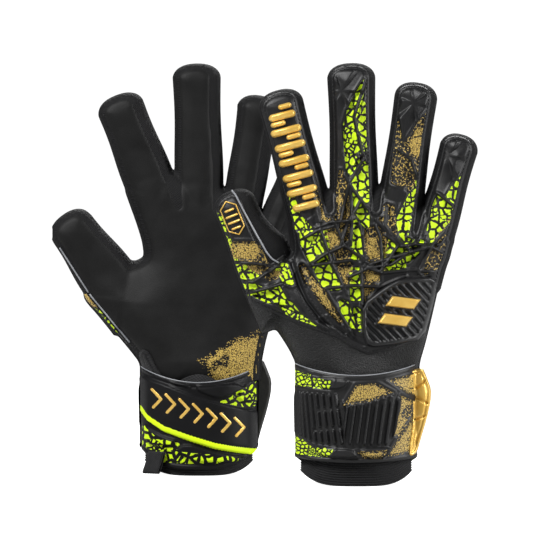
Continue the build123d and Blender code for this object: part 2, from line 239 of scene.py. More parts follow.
# Zones, ribs and pads of the strap, then of the band on the palm side
BAND_LIME = [
    [(-42, 74), (-29, 71), (-28, 63), (-42, 63.5)],
    [(-42, 33), (-34, 29.5), (-27, 25), (-14, 23.5), (-17, 19), (-28, 18.5), (-42, 21)],
    [(-27.5, 69), (-14.5, 67.5), (-16.5, 61.5), (-27, 62.5)],
]
BAND_GOLD = [
    [(-8.5, 51.5), (-0.5, 65), (12, 66), (23, 60), (9, 54.5)],
    [(19, 68), (38.5, 71.5), (38.5, 57), (31.5, 59)],
    [(27.5, 58), (36.5, 53.5), (35, 44.5), (27, 31.5), (22.5, 32.5), (26, 46.5)],
    [(36.5, 47.5), (37, 21.5), (18, 18.5), (26, 30.5), (31.5, 37.5)],
    [(-0.5, 22.5), (19, 23.5), (15.5, 18), (4, 18)],
]
RIB_FIELD = [(-42, 61), (-26, 59.5), (-12, 59.5), (-6, 52), (22, 58.5), (28, 57), (24, 33), (20, 26),
             (-25, 27), (-42, 34)]
BAND_PADS = [
    [(-26, 70.5), (-3, 69), (-9, 61.5), (-24, 62)],
    [(-26, 24.5), (-2, 24.5), (1, 18.2), (-22, 18.5)],
    [(1, 24.8), (24, 25), (20, 18.4), (4, 18.2)],
]
PALM_BAND_LIME = [
    [(-42, 35.5), (-38.5, 36), (-32.5, 30.5), (-25.5, 25), (-9, 20.5), (-14, 17), (-31, 16.5), (-42, 20)],
    [(-37, 12.5), (-25.5, 17), (-6, 15.5), (25.5, 12.5), (24.5, 8.5), (-6, 8), (-33, 9)],
    [(24, 55), (41, 63), (41, 43.5), (28, 45), (13, 48.5), (21, 51.5)],
]
STRIPE = [(-42, 45.5), (-38.5, 43.5), (-32.5, 37.5), (-22.5, 31), (-6, 25), (10.5, 19.7), (24, 17),
          (42, 14.2)]
PANEL_TOP = [(-42, 66.5), (-38.5, 65.5), (-22.5, 60.5), (0.5, 51.5), (20.5, 46), (42, 40.5)]
PALM_PADS = [
    [(-37, 35), (-27, 28), (-12, 23), (-20, 17.5), (-34, 20)],
    [(-8, 22), (12, 15.5), (30, 12.5), (28, 8.5), (-4, 9), (-16, 16.5)],
    [(-3, 60.5), (24, 61), (31, 57), (14, 50), (0, 55)],
    [(27, 59), (40, 63), (40, 45), (24, 49)],
    [(-22, 62.5), (-6, 60.5), (-4, 56.5), (-16, 60)],
]
TAB = [(33, 72.5), (39.5, 74.5), (42.5, 74.5), (44.5, 70), (48, 61), (47.6, 53), (45, 41.5), (41.5, 30),
       (39, 21), (35, 18), (32.5, 20), (36, 45)]
# Half widths, across and front to back, of the ellipses that the strap and the palm side's band lie on
STRAP_SIZE = (39.0, 30.2)
BAND_SIZE = (38.0, 30.0)
# Half thickness and edge rounding of the thumb
THUMB_H, THUMB_R = 12.6, 14.0
PARTS = ["hand"] + NAMES


# ---------------------------------------------------------------- plane geometry
def smooth(a, b, x):
    """0 below a, 1 above b, with soft ends."""
    t = np.clip((x - a) / (b - a), 0, 1)
    return t * t * (3 - 2 * t)


def bell(x, centre, width):
    return np.exp(-(((x - centre) / width) ** 2))


def dome(d, reach):
    """Rounded rise from 0 at an edge to 1 at reach from it."""
    return np.sqrt(np.clip(d / reach, 0, 1))


def to_line(points, line):
    """Distance to an open line."""
    x, y = points[:, 0], points[:, 1]
    best = np.full(len(points), 1e9)
    for (ax, ay), (bx, by) in zip(line[:-1], line[1:]):
        ex, ey = bx - ax, by - ay
        t = np.clip(((x - ax) * ex + (y - ay) * ey) / max(ex * ex + ey * ey, 1e-9), 0, 1)
        best = np.minimum(best, (x - ax - t * ex) ** 2 + (y - ay - t * ey) ** 2)
    return np.sqrt(best)


def inside(points, outline):
    """Distance to a closed outline, positive inside it."""
    x, y = points[:, 0], points[:, 1]
    closed = outline + outline[:1]
    odd = np.zeros(len(points), bool)
    for (ax, ay), (bx, by) in zip(closed[:-1], closed[1:]):
        if ay != by:
            odd ^= ((ay > y) != (by > y)) & (x < ax + (y - ay) * (bx - ax) / (by - ay))
    return np.where(odd, 1.0, -1.0) * to_line(points, closed)


def deepest(points, zones):
    """Largest distance inside any of the zones."""
    best = np.full(len(points), -50.0)
    for zone in zones:
        best = np.maximum(best, inside(points, zone))
    return best


def along(line, u):
    """Height of a line at u."""
    return np.interp(u, *np.transpose(line))


def union(a, b, reach=3.0):
    """The larger of two distances, rounded where they come within reach of each other."""
    h = np.maximum(reach - np.abs(a - b), 0) / reach
    return np.maximum(a, b) + h * h * reach / 4


def rounded(outline, turns=2):
    """The outline with its corners cut off, once or more."""
    pts = np.asarray(outline, float)
    for _ in range(turns):
        ahead = np.roll(pts, -1, axis=0)
        pts = np.stack([0.8 * pts + 0.2 * ahead, 0.2 * pts + 0.8 * ahead], axis=1).reshape(-1, 2)
    return [tuple(p) for p in pts]


def local(row, points):
    """Distance along a finger from its root, and across it."""
    a = math.radians(row[2])
    du, dv = points[:, 0] - row[0], points[:, 1] - row[1]
    return du * math.sin(a) + dv * math.cos(a), du * math.cos(a) - dv * math.sin(a)


def at(row, s, w):
    """The point s along a finger and w across it."""
    a = math.radians(row[2])
    return row[0] + s * math.sin(a) + w * math.cos(a), row[1] + s * math.cos(a) - w * math.sin(a)


def stall(row, left, right, tip, flare):
    """Outline of one finger: two sides with a slight waist and a full rounded end.

    left, right and tip are how far it stays inside the finger, flare how far it swells into the web.
    """
    length, cap, start = row[3] - tip, 10.5 - tip, -34.0

    def half(s):
        q = min(max(s / row[3], 0), 1)
        return 0.5 * (row[4] + (row[5] - row[4]) * q) + 0.45 * math.sin(2.2 * math.pi * q + 0.6)

    out = [at(row, s, -half(s) + left) for s in np.linspace(start, length - cap, 16)]
    for k in range(1, 18):
        t = math.pi * (1 - k / 18)
        c, q = math.cos(t), math.sin(t)
        width = half(length) - (right if c > 0 else left)
        out.append(at(row, length - cap + cap * q ** 0.86, width * math.copysign(abs(c) ** 0.86, c)))
    for s in np.linspace(length - cap, start, 16):
        out.append(at(row, s, half(s) - right + flare * math.exp(-((s - 14) / 15) ** 2)))
    return out


def outlines(glove, kind):
    """Outlines whose union is the whole shell, the palm sheet or the back panel of a glove."""
    g = GLOVES[glove]
    top = {"shell": "top", "palm": "palm_top", "back": "back_top"}[kind]
    out = [rounded(g["thumb_side"] + g["web"] + g[top] + g["ulnar_side"])]
    for name, row in g["rows"].items():
        thumb = name == "thumb"
        left, right = {
            "shell": (0.0, 0.0),
            "palm": (0.9, 3.6) if glove == "left" else (2.5, 2.5),
            "back": (0.5, 8.0) if thumb else (0.7, 3.0),
        }[kind]
        flare = 7.5 if thumb and kind != "back" else 0.0
        if thumb and glove == "left":
            flare, right = 0.0, min(right, 2.5)
        out.append(stall(row, left, right, 0.0 if kind == "shell" else 1.0, flare))
    return out


def field(shapes, points, inset=0.0):
    """Distance inside the union of outlines. The inset narrows only the first one, the hand."""
    d = inside(points, shapes[0]) - inset
    for shape in shapes[1:]:
        d = union(d, inside(points, shape))
    return d


def half_depth(glove, points, d):
    """Half thickness of the shell where the outline is d away."""
    v = points[:, 1]
    high, reach = np.interp(v, DEPTH_V, DEPTH_H), np.interp(v, DEPTH_V, ROUND_R)
    wall = np.interp(v, WALL_V, WALL_H)
    s, w = local(GLOVES[glove]["rows"]["thumb"], points)
    thumb = smooth(-32, 6, s) * (1 - smooth(18, 34, np.abs(w)))
    high = high + (THUMB_H - high) * thumb
    reach = reach + (THUMB_R - reach) * thumb
    x = np.clip(d / reach, 0, 1)
    return wall + (high - wall) * np.sqrt(np.maximum(1 - (1 - x) ** 2, 0))


def shell_depth(glove):
    """The function that gives the half thickness of the shell at any points."""
    shapes = outlines(glove, "shell")
    return lambda p: half_depth(glove, p, np.maximum(field(shapes, p), 0))


def slope(value, p, h):
    """How a distance grows along u and v at p, taken from points h away."""
    gu = (value(p + [h, 0]) - value(p - [h, 0])) / (2 * h)
    gv = (value(p + [0, h]) - value(p - [0, h])) / (2 * h)
    return np.stack([gu, gv], axis=1)


def onto(value, p, h, least, goal=0.0, limit=np.inf):
    """Points moved to where a distance equals the goal, each by at most the limit."""
    grad = slope(value, p, h)
    size = np.maximum((grad ** 2).sum(axis=1), least)
    return p - np.clip((value(p) - goal) / size, -limit, limit)[:, None] * grad


def lattice(value, lo, hi, pitch):
    """Grid points of a sheet, pulled onto its outline, their distance inside it, and the faces."""
    us, vs = (np.arange(lo[k], hi[k] + pitch, pitch) for k in (0, 1))
    points = np.stack(np.meshgrid(us, vs, indexing="ij"), axis=-1).reshape(-1, 2)
    d = value(points)
    near = np.where(np.abs(d) < 0.58 * pitch)[0]
    for _ in range(2):
        points[near] = onto(value, points[near], 0.1, 0.25, limit=pitch)
    d[near] = 0.0
    index = np.arange(len(points)).reshape(len(us), len(vs))
    corners = np.stack([index[:-1, :-1], index[1:, :-1], index[1:, 1:], index[:-1, 1:]], axis=-1)
    corners = corners.reshape(-1, 4)
    good = (d > -1e-6)[corners]
    count = good.sum(axis=1)
    faces = corners[(count == 4) & (d[corners] > 0).any(axis=1)].tolist()
    for q, keep in zip(corners[count == 3], good[count == 3]):
        if (d[q[keep]] > 0).any():
            faces.append(q[keep].tolist())
    return points, d, faces


def cut_out(outline, margin, pitch):
    """The lattice of one outline."""
    pts = np.asarray(outline)
    lo, hi = pts.min(axis=0) - margin, pts.max(axis=0) + margin
    return lattice(lambda p: inside(p, outline), lo, hi, pitch)


def rim_edges(faces):
    """Edges that only one face has."""
    edges = dict.fromkeys((a, b) for f in faces for a, b in zip(f, f[1:] + f[:1]))
    return [(a, b) for a, b in edges if (b, a) not in edges]


def chains(edges):
    """Edges joined end to end into paths."""
    ahead = {}
    for a, b in edges:
        ahead.setdefault(a, []).append(b)
    out = []
    while ahead:
        start = next(iter(ahead))
        path = [start]
        while ahead.get(path[-1]):
            after = ahead[path[-1]].pop()
            if not ahead[path[-1]]:
                del ahead[path[-1]]
            path.append(after)
            if after == start:
                break
        out.append(path)
    return out


def owners(glove, points):
    """0 for the hand, 1 to 5 for the fingers, at each point."""
    best = np.full(len(points), 1e9)
    who = np.zeros(len(points), int)
    for k, name in enumerate(NAMES):
        row = GLOVES[glove]["rows"][name]
        s, w = local(row, points)
        half = 0.5 * np.interp(s, [0, row[3]], [row[4], row[5]])
        extra = 9.0 if name == "thumb" else 2.5
        q = np.abs(w) / half
        take = (s > -2) & (np.abs(w) < half + extra) & (q < best)
        best = np.where(take, q, best)
        who = np.where(take, k + 1, who)
    return who


def to_world(glove, uv, depth, side):
    """side is 1 on the palm and -1 on the back."""
    g = GLOVES[glove]
    return np.stack([g["x0"] + uv[:, 0], g["y0"] + g["palm"] * side * depth, uv[:, 1]], axis=1)


def wrinkle(points, size, seed):
    return np.array([noise.noise((p[0] / size, p[1] / size, seed)) for p in points])


def facet_field(points, seeds):
    """Height of a surface of flat facets between seeds (u, v, height), with a ridge on two edges in five."""
    place, edges, tris, source = delaunay_2d_cdt([Vector(s[:2]) for s in seeds], [], [], 0, 1e-4)[:4]
    lift = [seeds[o[0]][2] if o else 0.0 for o in source]
    u, v = points[:, 0], points[:, 1]
    out = np.zeros(len(points))
    for tri in tris:
        (ax, ay), (bx, by), (cx, cy) = [place[i] for i in tri]
        det = (by - cy) * (ax - cx) + (cx - bx) * (ay - cy)
        if abs(det) < 1e-9:
            continue
        near = np.where((u >= min(ax, bx, cx)) & (u <= max(ax, bx, cx)))[0]
        du, dv = u[near] - cx, v[near] - cy
        first = ((by - cy) * du + (cx - bx) * dv) / det
        second = ((cy - ay) * du + (ax - cx) * dv) / det
        shares = np.stack([first, second, 1 - first - second])
        hit = shares.min(axis=0) >= -1e-6
        out[near[hit]] = sum(share[hit] * lift[i] for share, i in zip(shares, tri))
    for a, b in edges:
        if (a * 7 + b * 13) % 5 > 1:
            continue
        ends = [tuple(place[a]), tuple(place[b])]
        near = np.where((u > min(ends)[0] - 2) & (u < max(ends)[0] + 2))[0]
        out[near] += 0.8 * np.clip(1 - to_line(points[near], ends) / 1.1, 0, 1)
    return out


# ---------------------------------------------------------------- materials
def shader(name, base, rough, sheen=0.0, specular=0.5):
    """A material, its node tree and the inputs of its shader."""
    m = bpy.data.materials.new(name)
    m.use_nodes = True
    sockets = m.node_tree.nodes["Principled BSDF"].inputs
    sockets["Base Color"].default_value = (*base, 1)
    sockets["Roughness"].default_value = rough
    sockets["Sheen Weight"].default_value = sheen
    sockets["Specular IOR Level"].default_value = specular
    return m, m.node_tree, sockets


def feed(t, socket, value):
    """Links another socket to this one, or sets it to a plain value."""
    if isinstance(value, bpy.types.NodeSocket):
        t.links.new(value, socket)
    else:
        socket.default_value = value


def node(t, kind, values=None, **props):
    n = t.nodes.new(kind)
    for k, v in props.items():
        setattr(n, k, v)
    for k, v in (values or {}).items():
        feed(t, n.inputs[k], v)
    return n


def rest(t):
    return node(t, "ShaderNodeAttribute", attribute_name="rest").outputs["Vector"]


def mask(t, name):
    return node(t, "ShaderNodeAttribute", attribute_name=name).outputs["Fac"]


def calc(t, op, a, b):
    return node(t, "ShaderNodeMath", {0: a, 1: b}, operation=op).outputs[0]


def mix_float(t, fac, a, b):
    return node(t, "ShaderNodeMix", {0: fac, 2: a, 3: b}, data_type="FLOAT").outputs[0]


def mix_color(t, fac, a, b):
    a, b = ((*c, 1) if isinstance(c, tuple) else c for c in (a, b))
    return node(t, "ShaderNodeMix", {0: fac, 6: a, 7: b}, data_type="RGBA").outputs[2]


def step(t, value, lo, hi):
    values = {"Value": value, "From Min": lo, "From Max": hi}
    return node(t, "ShaderNodeMapRange", values, clamp=True).outputs["Result"]


def grain(t, where, scale, detail, rough=0.5, out="Fac"):
    values = {"Vector": where, "Scale": scale, "Detail": detail, "Roughness": rough}
    return node(t, "ShaderNodeTexNoise", values).outputs[out]


def voronoi(t, where, scale, feature="F1", spread=1.0):
    values = {"Vector": where, "Scale": scale, "Randomness": spread}
    kind = "ShaderNodeTexVoronoi"
    return node(t, kind, values, feature=feature, voronoi_dimensions="2D").outputs["Distance"]


def bump(t, height, distance, under=None):
    values = {"Height": height, "Distance": distance}
    if under is not None:
        values["Normal"] = under
    return node(t, "ShaderNodeBump", values).outputs["Normal"]


def tone(t, where, dark, light, scale, rough=0.6):
    """Soft patches of two shades."""
    return mix_color(t, step(t, grain(t, where, scale, 5.0, rough), 0.35, 0.65), dark, light)


def soft_black(name, dark, light, rough, fine_scale, depth, sheen=0.0, specular=0.5, scale=0.05):
    m, t, sockets = shader(name, dark, rough, sheen, specular)
    where = rest(t)
    feed(t, sockets["Base Color"], tone(t, where, dark, light, scale))
    fine = grain(t, where, fine_scale, 4.0, 0.65)
    values = {"Value": fine, "To Min": rough - 0.06, "To Max": rough + 0.08}
    feed(t, sockets["Roughness"], node(t, "ShaderNodeMapRange", values).outputs["Result"])
    feed(t, sockets["Normal"], bump(t, fine, depth))
    return m


LIME_RGB = (0.74, 1.0, 0.012)
GOLD_RGB = (0.68, 0.48, 0.12)


def cells(t, where, scale, gap):
    """1 inside voronoi cells, 0 on the lines between them."""
    warp = grain(t, where, 0.35, 2.0, out="Color")
    values = {0: warp, 1: (1.8, 1.8, 0.0), 2: where}
    pushed = node(t, "ShaderNodeVectorMath", values, operation="MULTIPLY_ADD").outputs[0]
    uneven = calc(t, "MULTIPLY", calc(t, "SUBTRACT", grain(t, where, 0.22, 1.0), 0.5), 0.25)
    edge = calc(t, "ADD", voronoi(t, pushed, scale, "DISTANCE_TO_EDGE"), uneven)
    round_off = step(t, voronoi(t, pushed, scale), 0.78, 0.66)
    return calc(t, "MULTIPLY", step(t, edge, gap, gap + 0.05), round_off)


def printed(name, dark, light, rough, fine_scale, depth, lime_scale=0.19, gold_scale=0.36, gap=0.12,
            sparse=0.36, specular=0.42, sheen=0.0):
    """Black foam or rubber with lime cells and gold stipple where the lime and gold masks say."""
    m, t, sockets = shader(name, dark, rough, sheen, specular)
    where = rest(t)
    black = tone(t, where, dark, light, 0.05, 0.5)
    big, small = cells(t, where, lime_scale, gap), cells(t, where, lime_scale * 1.8, gap + 0.04)
    cell = mix_float(t, step(t, grain(t, where, 0.09, 1.0), 0.60, 0.62), big, small)
    lime = calc(t, "MULTIPLY", step(t, mask(t, "lime"), 0.45, 0.62), cell)
    level = mask(t, "gold")
    lines = step(t, voronoi(t, where, gold_scale, "DISTANCE_TO_EDGE"), 0.2, 0.12)
    broken = grain(t, where, 0.85, 1.0)
    dashes = calc(t, "MULTIPLY", lines, step(t, broken, 0.49, 0.52))
    notches = calc(t, "MULTIPLY", lines, step(t, broken, 0.56, 0.60))
    patches = step(t, grain(t, where, 0.075, 1.0), sparse, sparse + 0.03)
    solid = calc(t, "MULTIPLY", patches, step(t, level, 0.7, 0.8))
    fill = mix_float(t, solid, dashes, calc(t, "SUBTRACT", 1.0, notches))
    gold = calc(t, "MULTIPLY", step(t, level, 0.22, 0.32), fill)
    weave = step(t, voronoi(t, where, 1.15, spread=0.7), 0.26, 0.56)
    shade = mix_color(t, weave, GOLD_RGB, (0.17, 0.11, 0.026))
    green = mix_color(t, grain(t, where, 0.12, 3.0), LIME_RGB, (0.62, 0.90, 0.010))
    feed(t, sockets["Base Color"], mix_color(t, gold, mix_color(t, lime, black, green), shade))
    under = bump(t, grain(t, where, fine_scale, 4.0, 0.6), depth)
    feed(t, sockets["Normal"], bump(t, calc(t, "ADD", lime, gold), 0.00012, under))
    return m


def woven(name, dark, light, rough, pitch, depth, sheen=0.06):
    """Fine crossed threads."""
    m, t, sockets = shader(name, dark, rough, sheen, 0.3)
    where = rest(t)
    feed(t, sockets["Base Color"], tone(t, where, dark, light, 0.06))
    turn = {"Vector": where, "Rotation": (0, math.radians(75), math.radians(90))}
    threads = []
    for place in (where, node(t, "ShaderNodeMapping", turn).outputs["Vector"]):
        values = {"Vector": place, "Scale": 0.314 / pitch, "Distortion": 0.8, "Detail": 1.0}
        threads.append(node(t, "ShaderNodeTexWave", values, bands_direction="DIAGONAL").outputs["Fac"])
    feed(t, sockets["Normal"], bump(t, calc(t, "MULTIPLY", *threads), depth))
    return m


def metal_gold(name):
    m, t, sockets = shader(name, (0.86, 0.54, 0.11), 0.3)
    sockets["Coat Weight"].default_value = 0.2
    sockets["Metallic"].default_value = 0.35
    where = rest(t)
    feed(t, sockets["Base Color"], tone(t, where, (0.80, 0.48, 0.08), (0.94, 0.62, 0.15), 0.08))
    feed(t, sockets["Normal"], bump(t, grain(t, where, 0.9, 3.0), 0.00012))
    return m


def add_stripe(m):
    """Lime over a printed material where the stripe mask says."""
    t = m.node_tree
    base = t.nodes["Principled BSDF"].inputs["Base Color"]
    stripe = step(t, mask(t, "stripe"), 0.4, 0.6)
    feed(t, base, mix_color(t, stripe, base.links[0].from_socket, LIME_RGB))


BACK = printed("embossed back foam", (0.0035, 0.0035, 0.004), (0.0075, 0.0075, 0.008), 0.46, 1.9, 0.00012)
PALM = printed("palm latex print", (0.0045, 0.0045, 0.0045), (0.0085, 0.0085, 0.0085), 0.56, 1.6, 0.00014,
               gold_scale=0.5, specular=0.2, sheen=0.02)
BAND = printed("band rubber", (0.003, 0.003, 0.0035), (0.006, 0.006, 0.0065), 0.48, 2.2, 0.00011,
               0.40, 0.5, 0.16, 0.3, 0.5)
PALM_BAND = printed("palm band rubber", (0.003, 0.003, 0.0036), (0.006, 0.006, 0.0068), 0.46, 2.2, 0.00011,
                    0.2, 0.6, 0.19, specular=0.2)
add_stripe(PALM_BAND)
# The gusset's base colour is darker than the palm latex: partly the textile's own black, partly painted shade
# along the finger edges.
GUSSET = woven("gusset textile", (0.002, 0.002, 0.0025), (0.005, 0.005, 0.0055), 0.8, 0.9, 0.00018, 0.0)
MESH = soft_black("wrist mesh", (0.003, 0.003, 0.003), (0.018, 0.018, 0.018), 0.5, 0.95, 0.0035, 0.02,
                  scale=0.8)
ELASTIC = woven("elastic", (0.006, 0.006, 0.0065), (0.011, 0.011, 0.012), 0.8, 0.7, 0.00015)
WEBBING = woven("webbing", (0.008, 0.008, 0.009), (0.017, 0.017, 0.018), 0.8, 0.6, 0.0002)
THREAD = soft_black("thread", (0.006, 0.006, 0.007), (0.013, 0.013, 0.014), 0.6, 2.5, 0.0001, 0.1, 0.3)
PIPING = soft_black("pale piping", (0.2, 0.21, 0.23), (0.36, 0.37, 0.39), 0.5, 1.2, 0.0001, 0.1)
RUBBER = soft_black("ribbed pad rubber", (0.006, 0.006, 0.0065), (0.010, 0.010, 0.0105), 0.38, 2.2, 0.0001)
GILT = metal_gold("gold moulding")
DARK = soft_black("tab back", (0.01, 0.01, 0.009), (0.02, 0.02, 0.017), 0.5, 1.2, 0.00015)
LINING = woven("lining", (0.02, 0.02, 0.021), (0.035, 0.035, 0.036), 0.9, 1.1, 0.0002)
HOOKS = soft_black("hook and loop", (0.007, 0.007, 0.008), (0.016, 0.016, 0.017), 0.9, 1.4, 0.0006, 0.1, 0.3)


# ---------------------------------------------------------------- building pieces
def piece(glove, who, name, verts, faces, materials, masks=None, slots=None, flat=None):
    """A mesh from mm coordinates: who 0 puts it on the hand's body and a name on that body; 1 to 5, a finger,
    leaves it on no body.

    The rest attribute keeps each point's place on the unbent glove.
    """
    verts = np.asarray(verts, float)
    me = bpy.data.meshes.new(f"{glove}_{name}")
    me.from_pydata((verts * MM).tolist(), [], faces)
    if slots is not None:
        me.polygons.foreach_set("material_index", np.asarray(slots, np.int32))
    me.polygons.foreach_set("use_smooth", np.ones(len(me.polygons), bool))
    me.validate()
    stored = np.asarray(verts if flat is None else flat, np.float32)
    me.attributes.new("rest", "FLOAT_VECTOR", "POINT").data.foreach_set("vector", stored.ravel())
    for key, values in (masks or {}).items():
        me.attributes.new(key, "FLOAT", "POINT").data.foreach_set("value", np.asarray(values, np.float32))
    me.update()
    for m in materials:
        me.materials.append(m)
    ob = bpy.data.objects.new(f"{glove}_{name}", me)
    bpy.context.scene.collection.objects.link(ob)
    if who in range(1, 6):
        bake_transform(ob)
    else:
        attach(ob, f"{glove}_{who or 'hand'}")
    return ob


def turned(faces, flip=True):
    return [f[::-1] for f in faces] if flip else faces


def faced(glove, side, faces):
    """Faces of a lattice, turned to look outwards from that side of the glove."""
    return turned(faces, GLOVES[glove]["palm"] * side == 1)


def ring_faces(rings, columns, first=0):
    """Faces between closed rings of points that follow each other."""
    faces = []
    for j in range(rings - 1):
        for i in range(columns):
            a = first + j * columns + i
            b = first + j * columns + (i + 1) % columns
            faces.append([a, b, b + columns, a + columns])
    return faces


def split(glove, name, verts, faces, materials, uv, masks=None, slots=None, flat=None):
    """One piece for the hand and one for each finger, cut where the fingers join the hand."""
    who = owners(glove, np.array([uv[f].mean(axis=0) for f in faces]))
    for k, part in enumerate(PARTS):
        chosen = np.where(who == k)[0]
        if not len(chosen):
            continue
        used = np.unique(np.concatenate([faces[i] for i in chosen]))
        number = dict(zip(used.tolist(), range(len(used))))
        own = [[number[a] for a in faces[i]] for i in chosen]
        piece(
            glove, k, f"{part}_{name}", verts[used], own, materials,
            {m: x[used] for m, x in (masks or {}).items()},
            None if slots is None else np.asarray(slots)[chosen],
            None if flat is None else flat[used],
        )


def flat_of(uv, depth):
    return np.column_stack([uv, np.broadcast_to(depth, len(uv))])


def capsule(centre, along, normal, length, width, height):
    """A small rounded bead, for a stitch."""
    along = along / np.linalg.norm(along)
    across = np.cross(normal, along)
    across /= np.linalg.norm(across)
    up = np.cross(along, across)
    verts = []
    for x, r in ((-0.5, 0.25), (-0.36, 0.8), (0.0, 1.0), (0.36, 0.8), (0.5, 0.25)):
        for k in range(6):
            a = math.pi * k / 3
            aside = across * math.cos(a) * r * width / 2 + up * math.sin(a) * r * height / 2
            verts.append(centre + along * x * length + aside)
    return verts, ring_faces(5, 6) + [[5, 4, 3, 2, 1, 0], [24, 25, 26, 27, 28, 29]]


def resample(path, pitch):
    """The path with points at an even pitch."""
    path = np.asarray(path, float)
    total = np.concatenate([[0], np.cumsum(np.linalg.norm(np.diff(path, axis=0), axis=1))])
    t = np.linspace(0, total[-1], max(int(total[-1] / pitch), 2) + 1)
    return np.stack([np.interp(t, total, path[:, k]) for k in (0, 1)], axis=1)


def stitches(glove, name, paths, height_of, side, pitch=2.7, length=1.9, width=0.75):
    """Rows of stitches along paths in the plane of the glove, on one side of it."""
    pieces = {}
    up = np.array([0, GLOVES[glove]["palm"] * side, 0.0])
    for path in paths:
        pts = resample(path, pitch)
        if len(pts) < 3:
            continue
        mids = 0.5 * (pts[1:] + pts[:-1])
        within = field(outlines(glove, "shell"), mids) > 1.0
        world = to_world(glove, mids, height_of(mids) + 0.25, side)
        ends = to_world(glove, pts, height_of(pts), side)
        who = owners(glove, mids)
        for k in np.where(within)[0]:
            bead, bead_faces = capsule(world[k], ends[k + 1] - ends[k], up, length, width, 0.7)
            verts, faces = pieces.setdefault(int(who[k]), ([], []))
            faces.extend([[a + len(verts) for a in q] for q in bead_faces])
            verts.extend(bead)
    for k, (verts, faces) in pieces.items():
        piece(glove, k, f"{PARTS[k]}_{name}", verts, faces, [THREAD])


def seam_paths(points, faces, inset, value):
    """Lines that follow the outline of a sheet, inset from it, above the wrist."""
    out = []
    for chain in chains(rim_edges(faces)):
        if len(chain) < 40:
            continue
        path = points[chain]
        for _ in range(3):
            path = np.concatenate([path[:1], (path[:-2] + path[1:-1] + path[2:]) / 3, path[-1:]])
        for _ in range(2):
            path = onto(value, path, 0.3, 0.3, goal=inset)
        path = path[np.abs(value(path) - inset) < 0.5]
        runs = [[]]
        for p in path:
            if p[1] <= 70:
                runs.append([])
                continue
            if len(runs[-1]) > 4 and np.hypot(*(p - runs[-1][-1])) > 4:
                runs.append([])
            runs[-1].append(p)
        out += [run for run in runs if len(run) > 4]
    return out


# ---------------------------------------------------------------- the shell: gussets and the wrist mesh
def make_shell(glove):
    """Palm half and back half of the shell, with a rounded edge between them."""
    shapes = outlines(glove, "shell")

    def value(p):
        return field(shapes, p)

    uv, d, faces = lattice(value, LO, HI, 1.5)
    depth = half_depth(glove, uv, d)
    n = len(uv)
    below = uv[:, 1] < along(BORDER, uv[:, 0]) + 6
    out, slots = [], []
    for near, far in zip(faced(glove, 1, faces), faced(glove, -1, faces)):
        out += [near, [x + n for x in far]]
        slots += [0, int(all(below[x] for x in near))]
    edges = [(a, b) for a, b in rim_edges(faces) if max(uv[a, 1], uv[b, 1]) >= 62.5]
    rim = sorted({a for e in edges for a in e})
    place = {a: k for k, a in enumerate(rim)}
    grad = slope(value, uv[rim], 0.4)
    away = -grad / np.maximum(np.hypot(*grad.T), 0.3)[:, None]
    verts, plane = [to_world(glove, uv, depth, 1), to_world(glove, uv, depth, -1)], [uv, uv]
    for t in (0.5, 0.0, -0.5):
        q = uv[rim] + away * 0.7 * math.sqrt(1 - t * t)
        verts.append(to_world(glove, q, depth[rim] * t, 1))
        plane.append(q)
    walls = []
    for edge in edges:
        a, b = ([x] + [2 * n + r * len(rim) + place[x] for r in range(3)] + [x + n] for x in edge)
        walls += [[a[k], a[k + 1], b[k + 1], b[k]] for k in range(4)]
    out += faced(glove, 1, walls)
    slots += [0] * len(walls)
    split(glove, "shell", np.concatenate(verts), out, [GUSSET, MESH], np.concatenate(plane), slots=slots)


# ---------------------------------------------------------------- palm
def two_level(d, edge, ragged):
    """Mask of a gold zone: flecks along its edge and solid further in."""
    return 0.5 * smooth(-edge, edge, d) + 0.5 * smooth(0.9, 1.9, d + ragged)


def make_palm(glove):
    """Latex sheet of the palm and the fingers, with its print and its stitches."""
    shapes = outlines(glove, "palm")
    base = shell_depth(glove)

    def value(p):
        return field(shapes, p, 1.8)

    def height(p, d=None):
        d = value(p) if d is None else d
        soft = 0.55 * wrinkle(p, 26, 3.1) + 0.25 * wrinkle(p, 9, 7.7)
        for name in NAMES[1:]:
            row = GLOVES[glove]["rows"][name]
            s, w = local(row, p)
            for k, deep in ((2.0, 0.3), (0.36 * row[3], 0.14), (0.66 * row[3], 0.1)):
                soft = soft - deep * bell(s + 0.004 * w * w, k, 3.2) * (1 - smooth(5, 14, np.abs(w)))
        lip = 0.85 * dome(d, 1.3) - 0.35
        return base(p) + lip - 1.3 * bell(d, 2.0, 0.85) + soft * smooth(0, 6, d)

    uv, d, faces = lattice(value, LO, HI, 1.25)
    depth = height(uv, d)
    ragged = inside(uv, PALM_PRINT) + 2.2 * wrinkle(uv, 3.0, 5.0)
    gold = two_level(ragged, 0.6, 1.5 * wrinkle(uv, 4.0, 2.0) - 1.5)
    masks = {"gold": gold, "lime": np.zeros(len(uv))}
    world, flat = to_world(glove, uv, depth, 1), flat_of(uv, depth)
    split(glove, "palm", world, faced(glove, 1, faces), [PALM], uv, masks, flat=flat)
    stitches(glove, "palm_stitch", seam_paths(uv, faces, 2.0, value), height, 1)


# ---------------------------------------------------------------- back panel
def moved(zone, glove):
    """A backhand zone given on the right glove, carried to the same place on this glove."""
    if glove == "right":
        return zone
    pts = np.asarray(zone, float)
    k = owners("right", pts.mean(axis=0)[None])[0]
    if k == 0:
        grow = [float(np.interp(u, [-45, -30, 0], [-0.13, 0.0, 0.13])) for u, v in zone]
        return [(u + 0.5, v + more * (v - 84)) for (u, v), more in zip(zone, grow)]
    a, b = (GLOVES[which]["rows"][NAMES[k - 1]] for which in ("right", "left"))
    return [at(b, s * b[3] / a[3], w * b[4] / a[4]) for s, w in zip(*local(a, pts))]


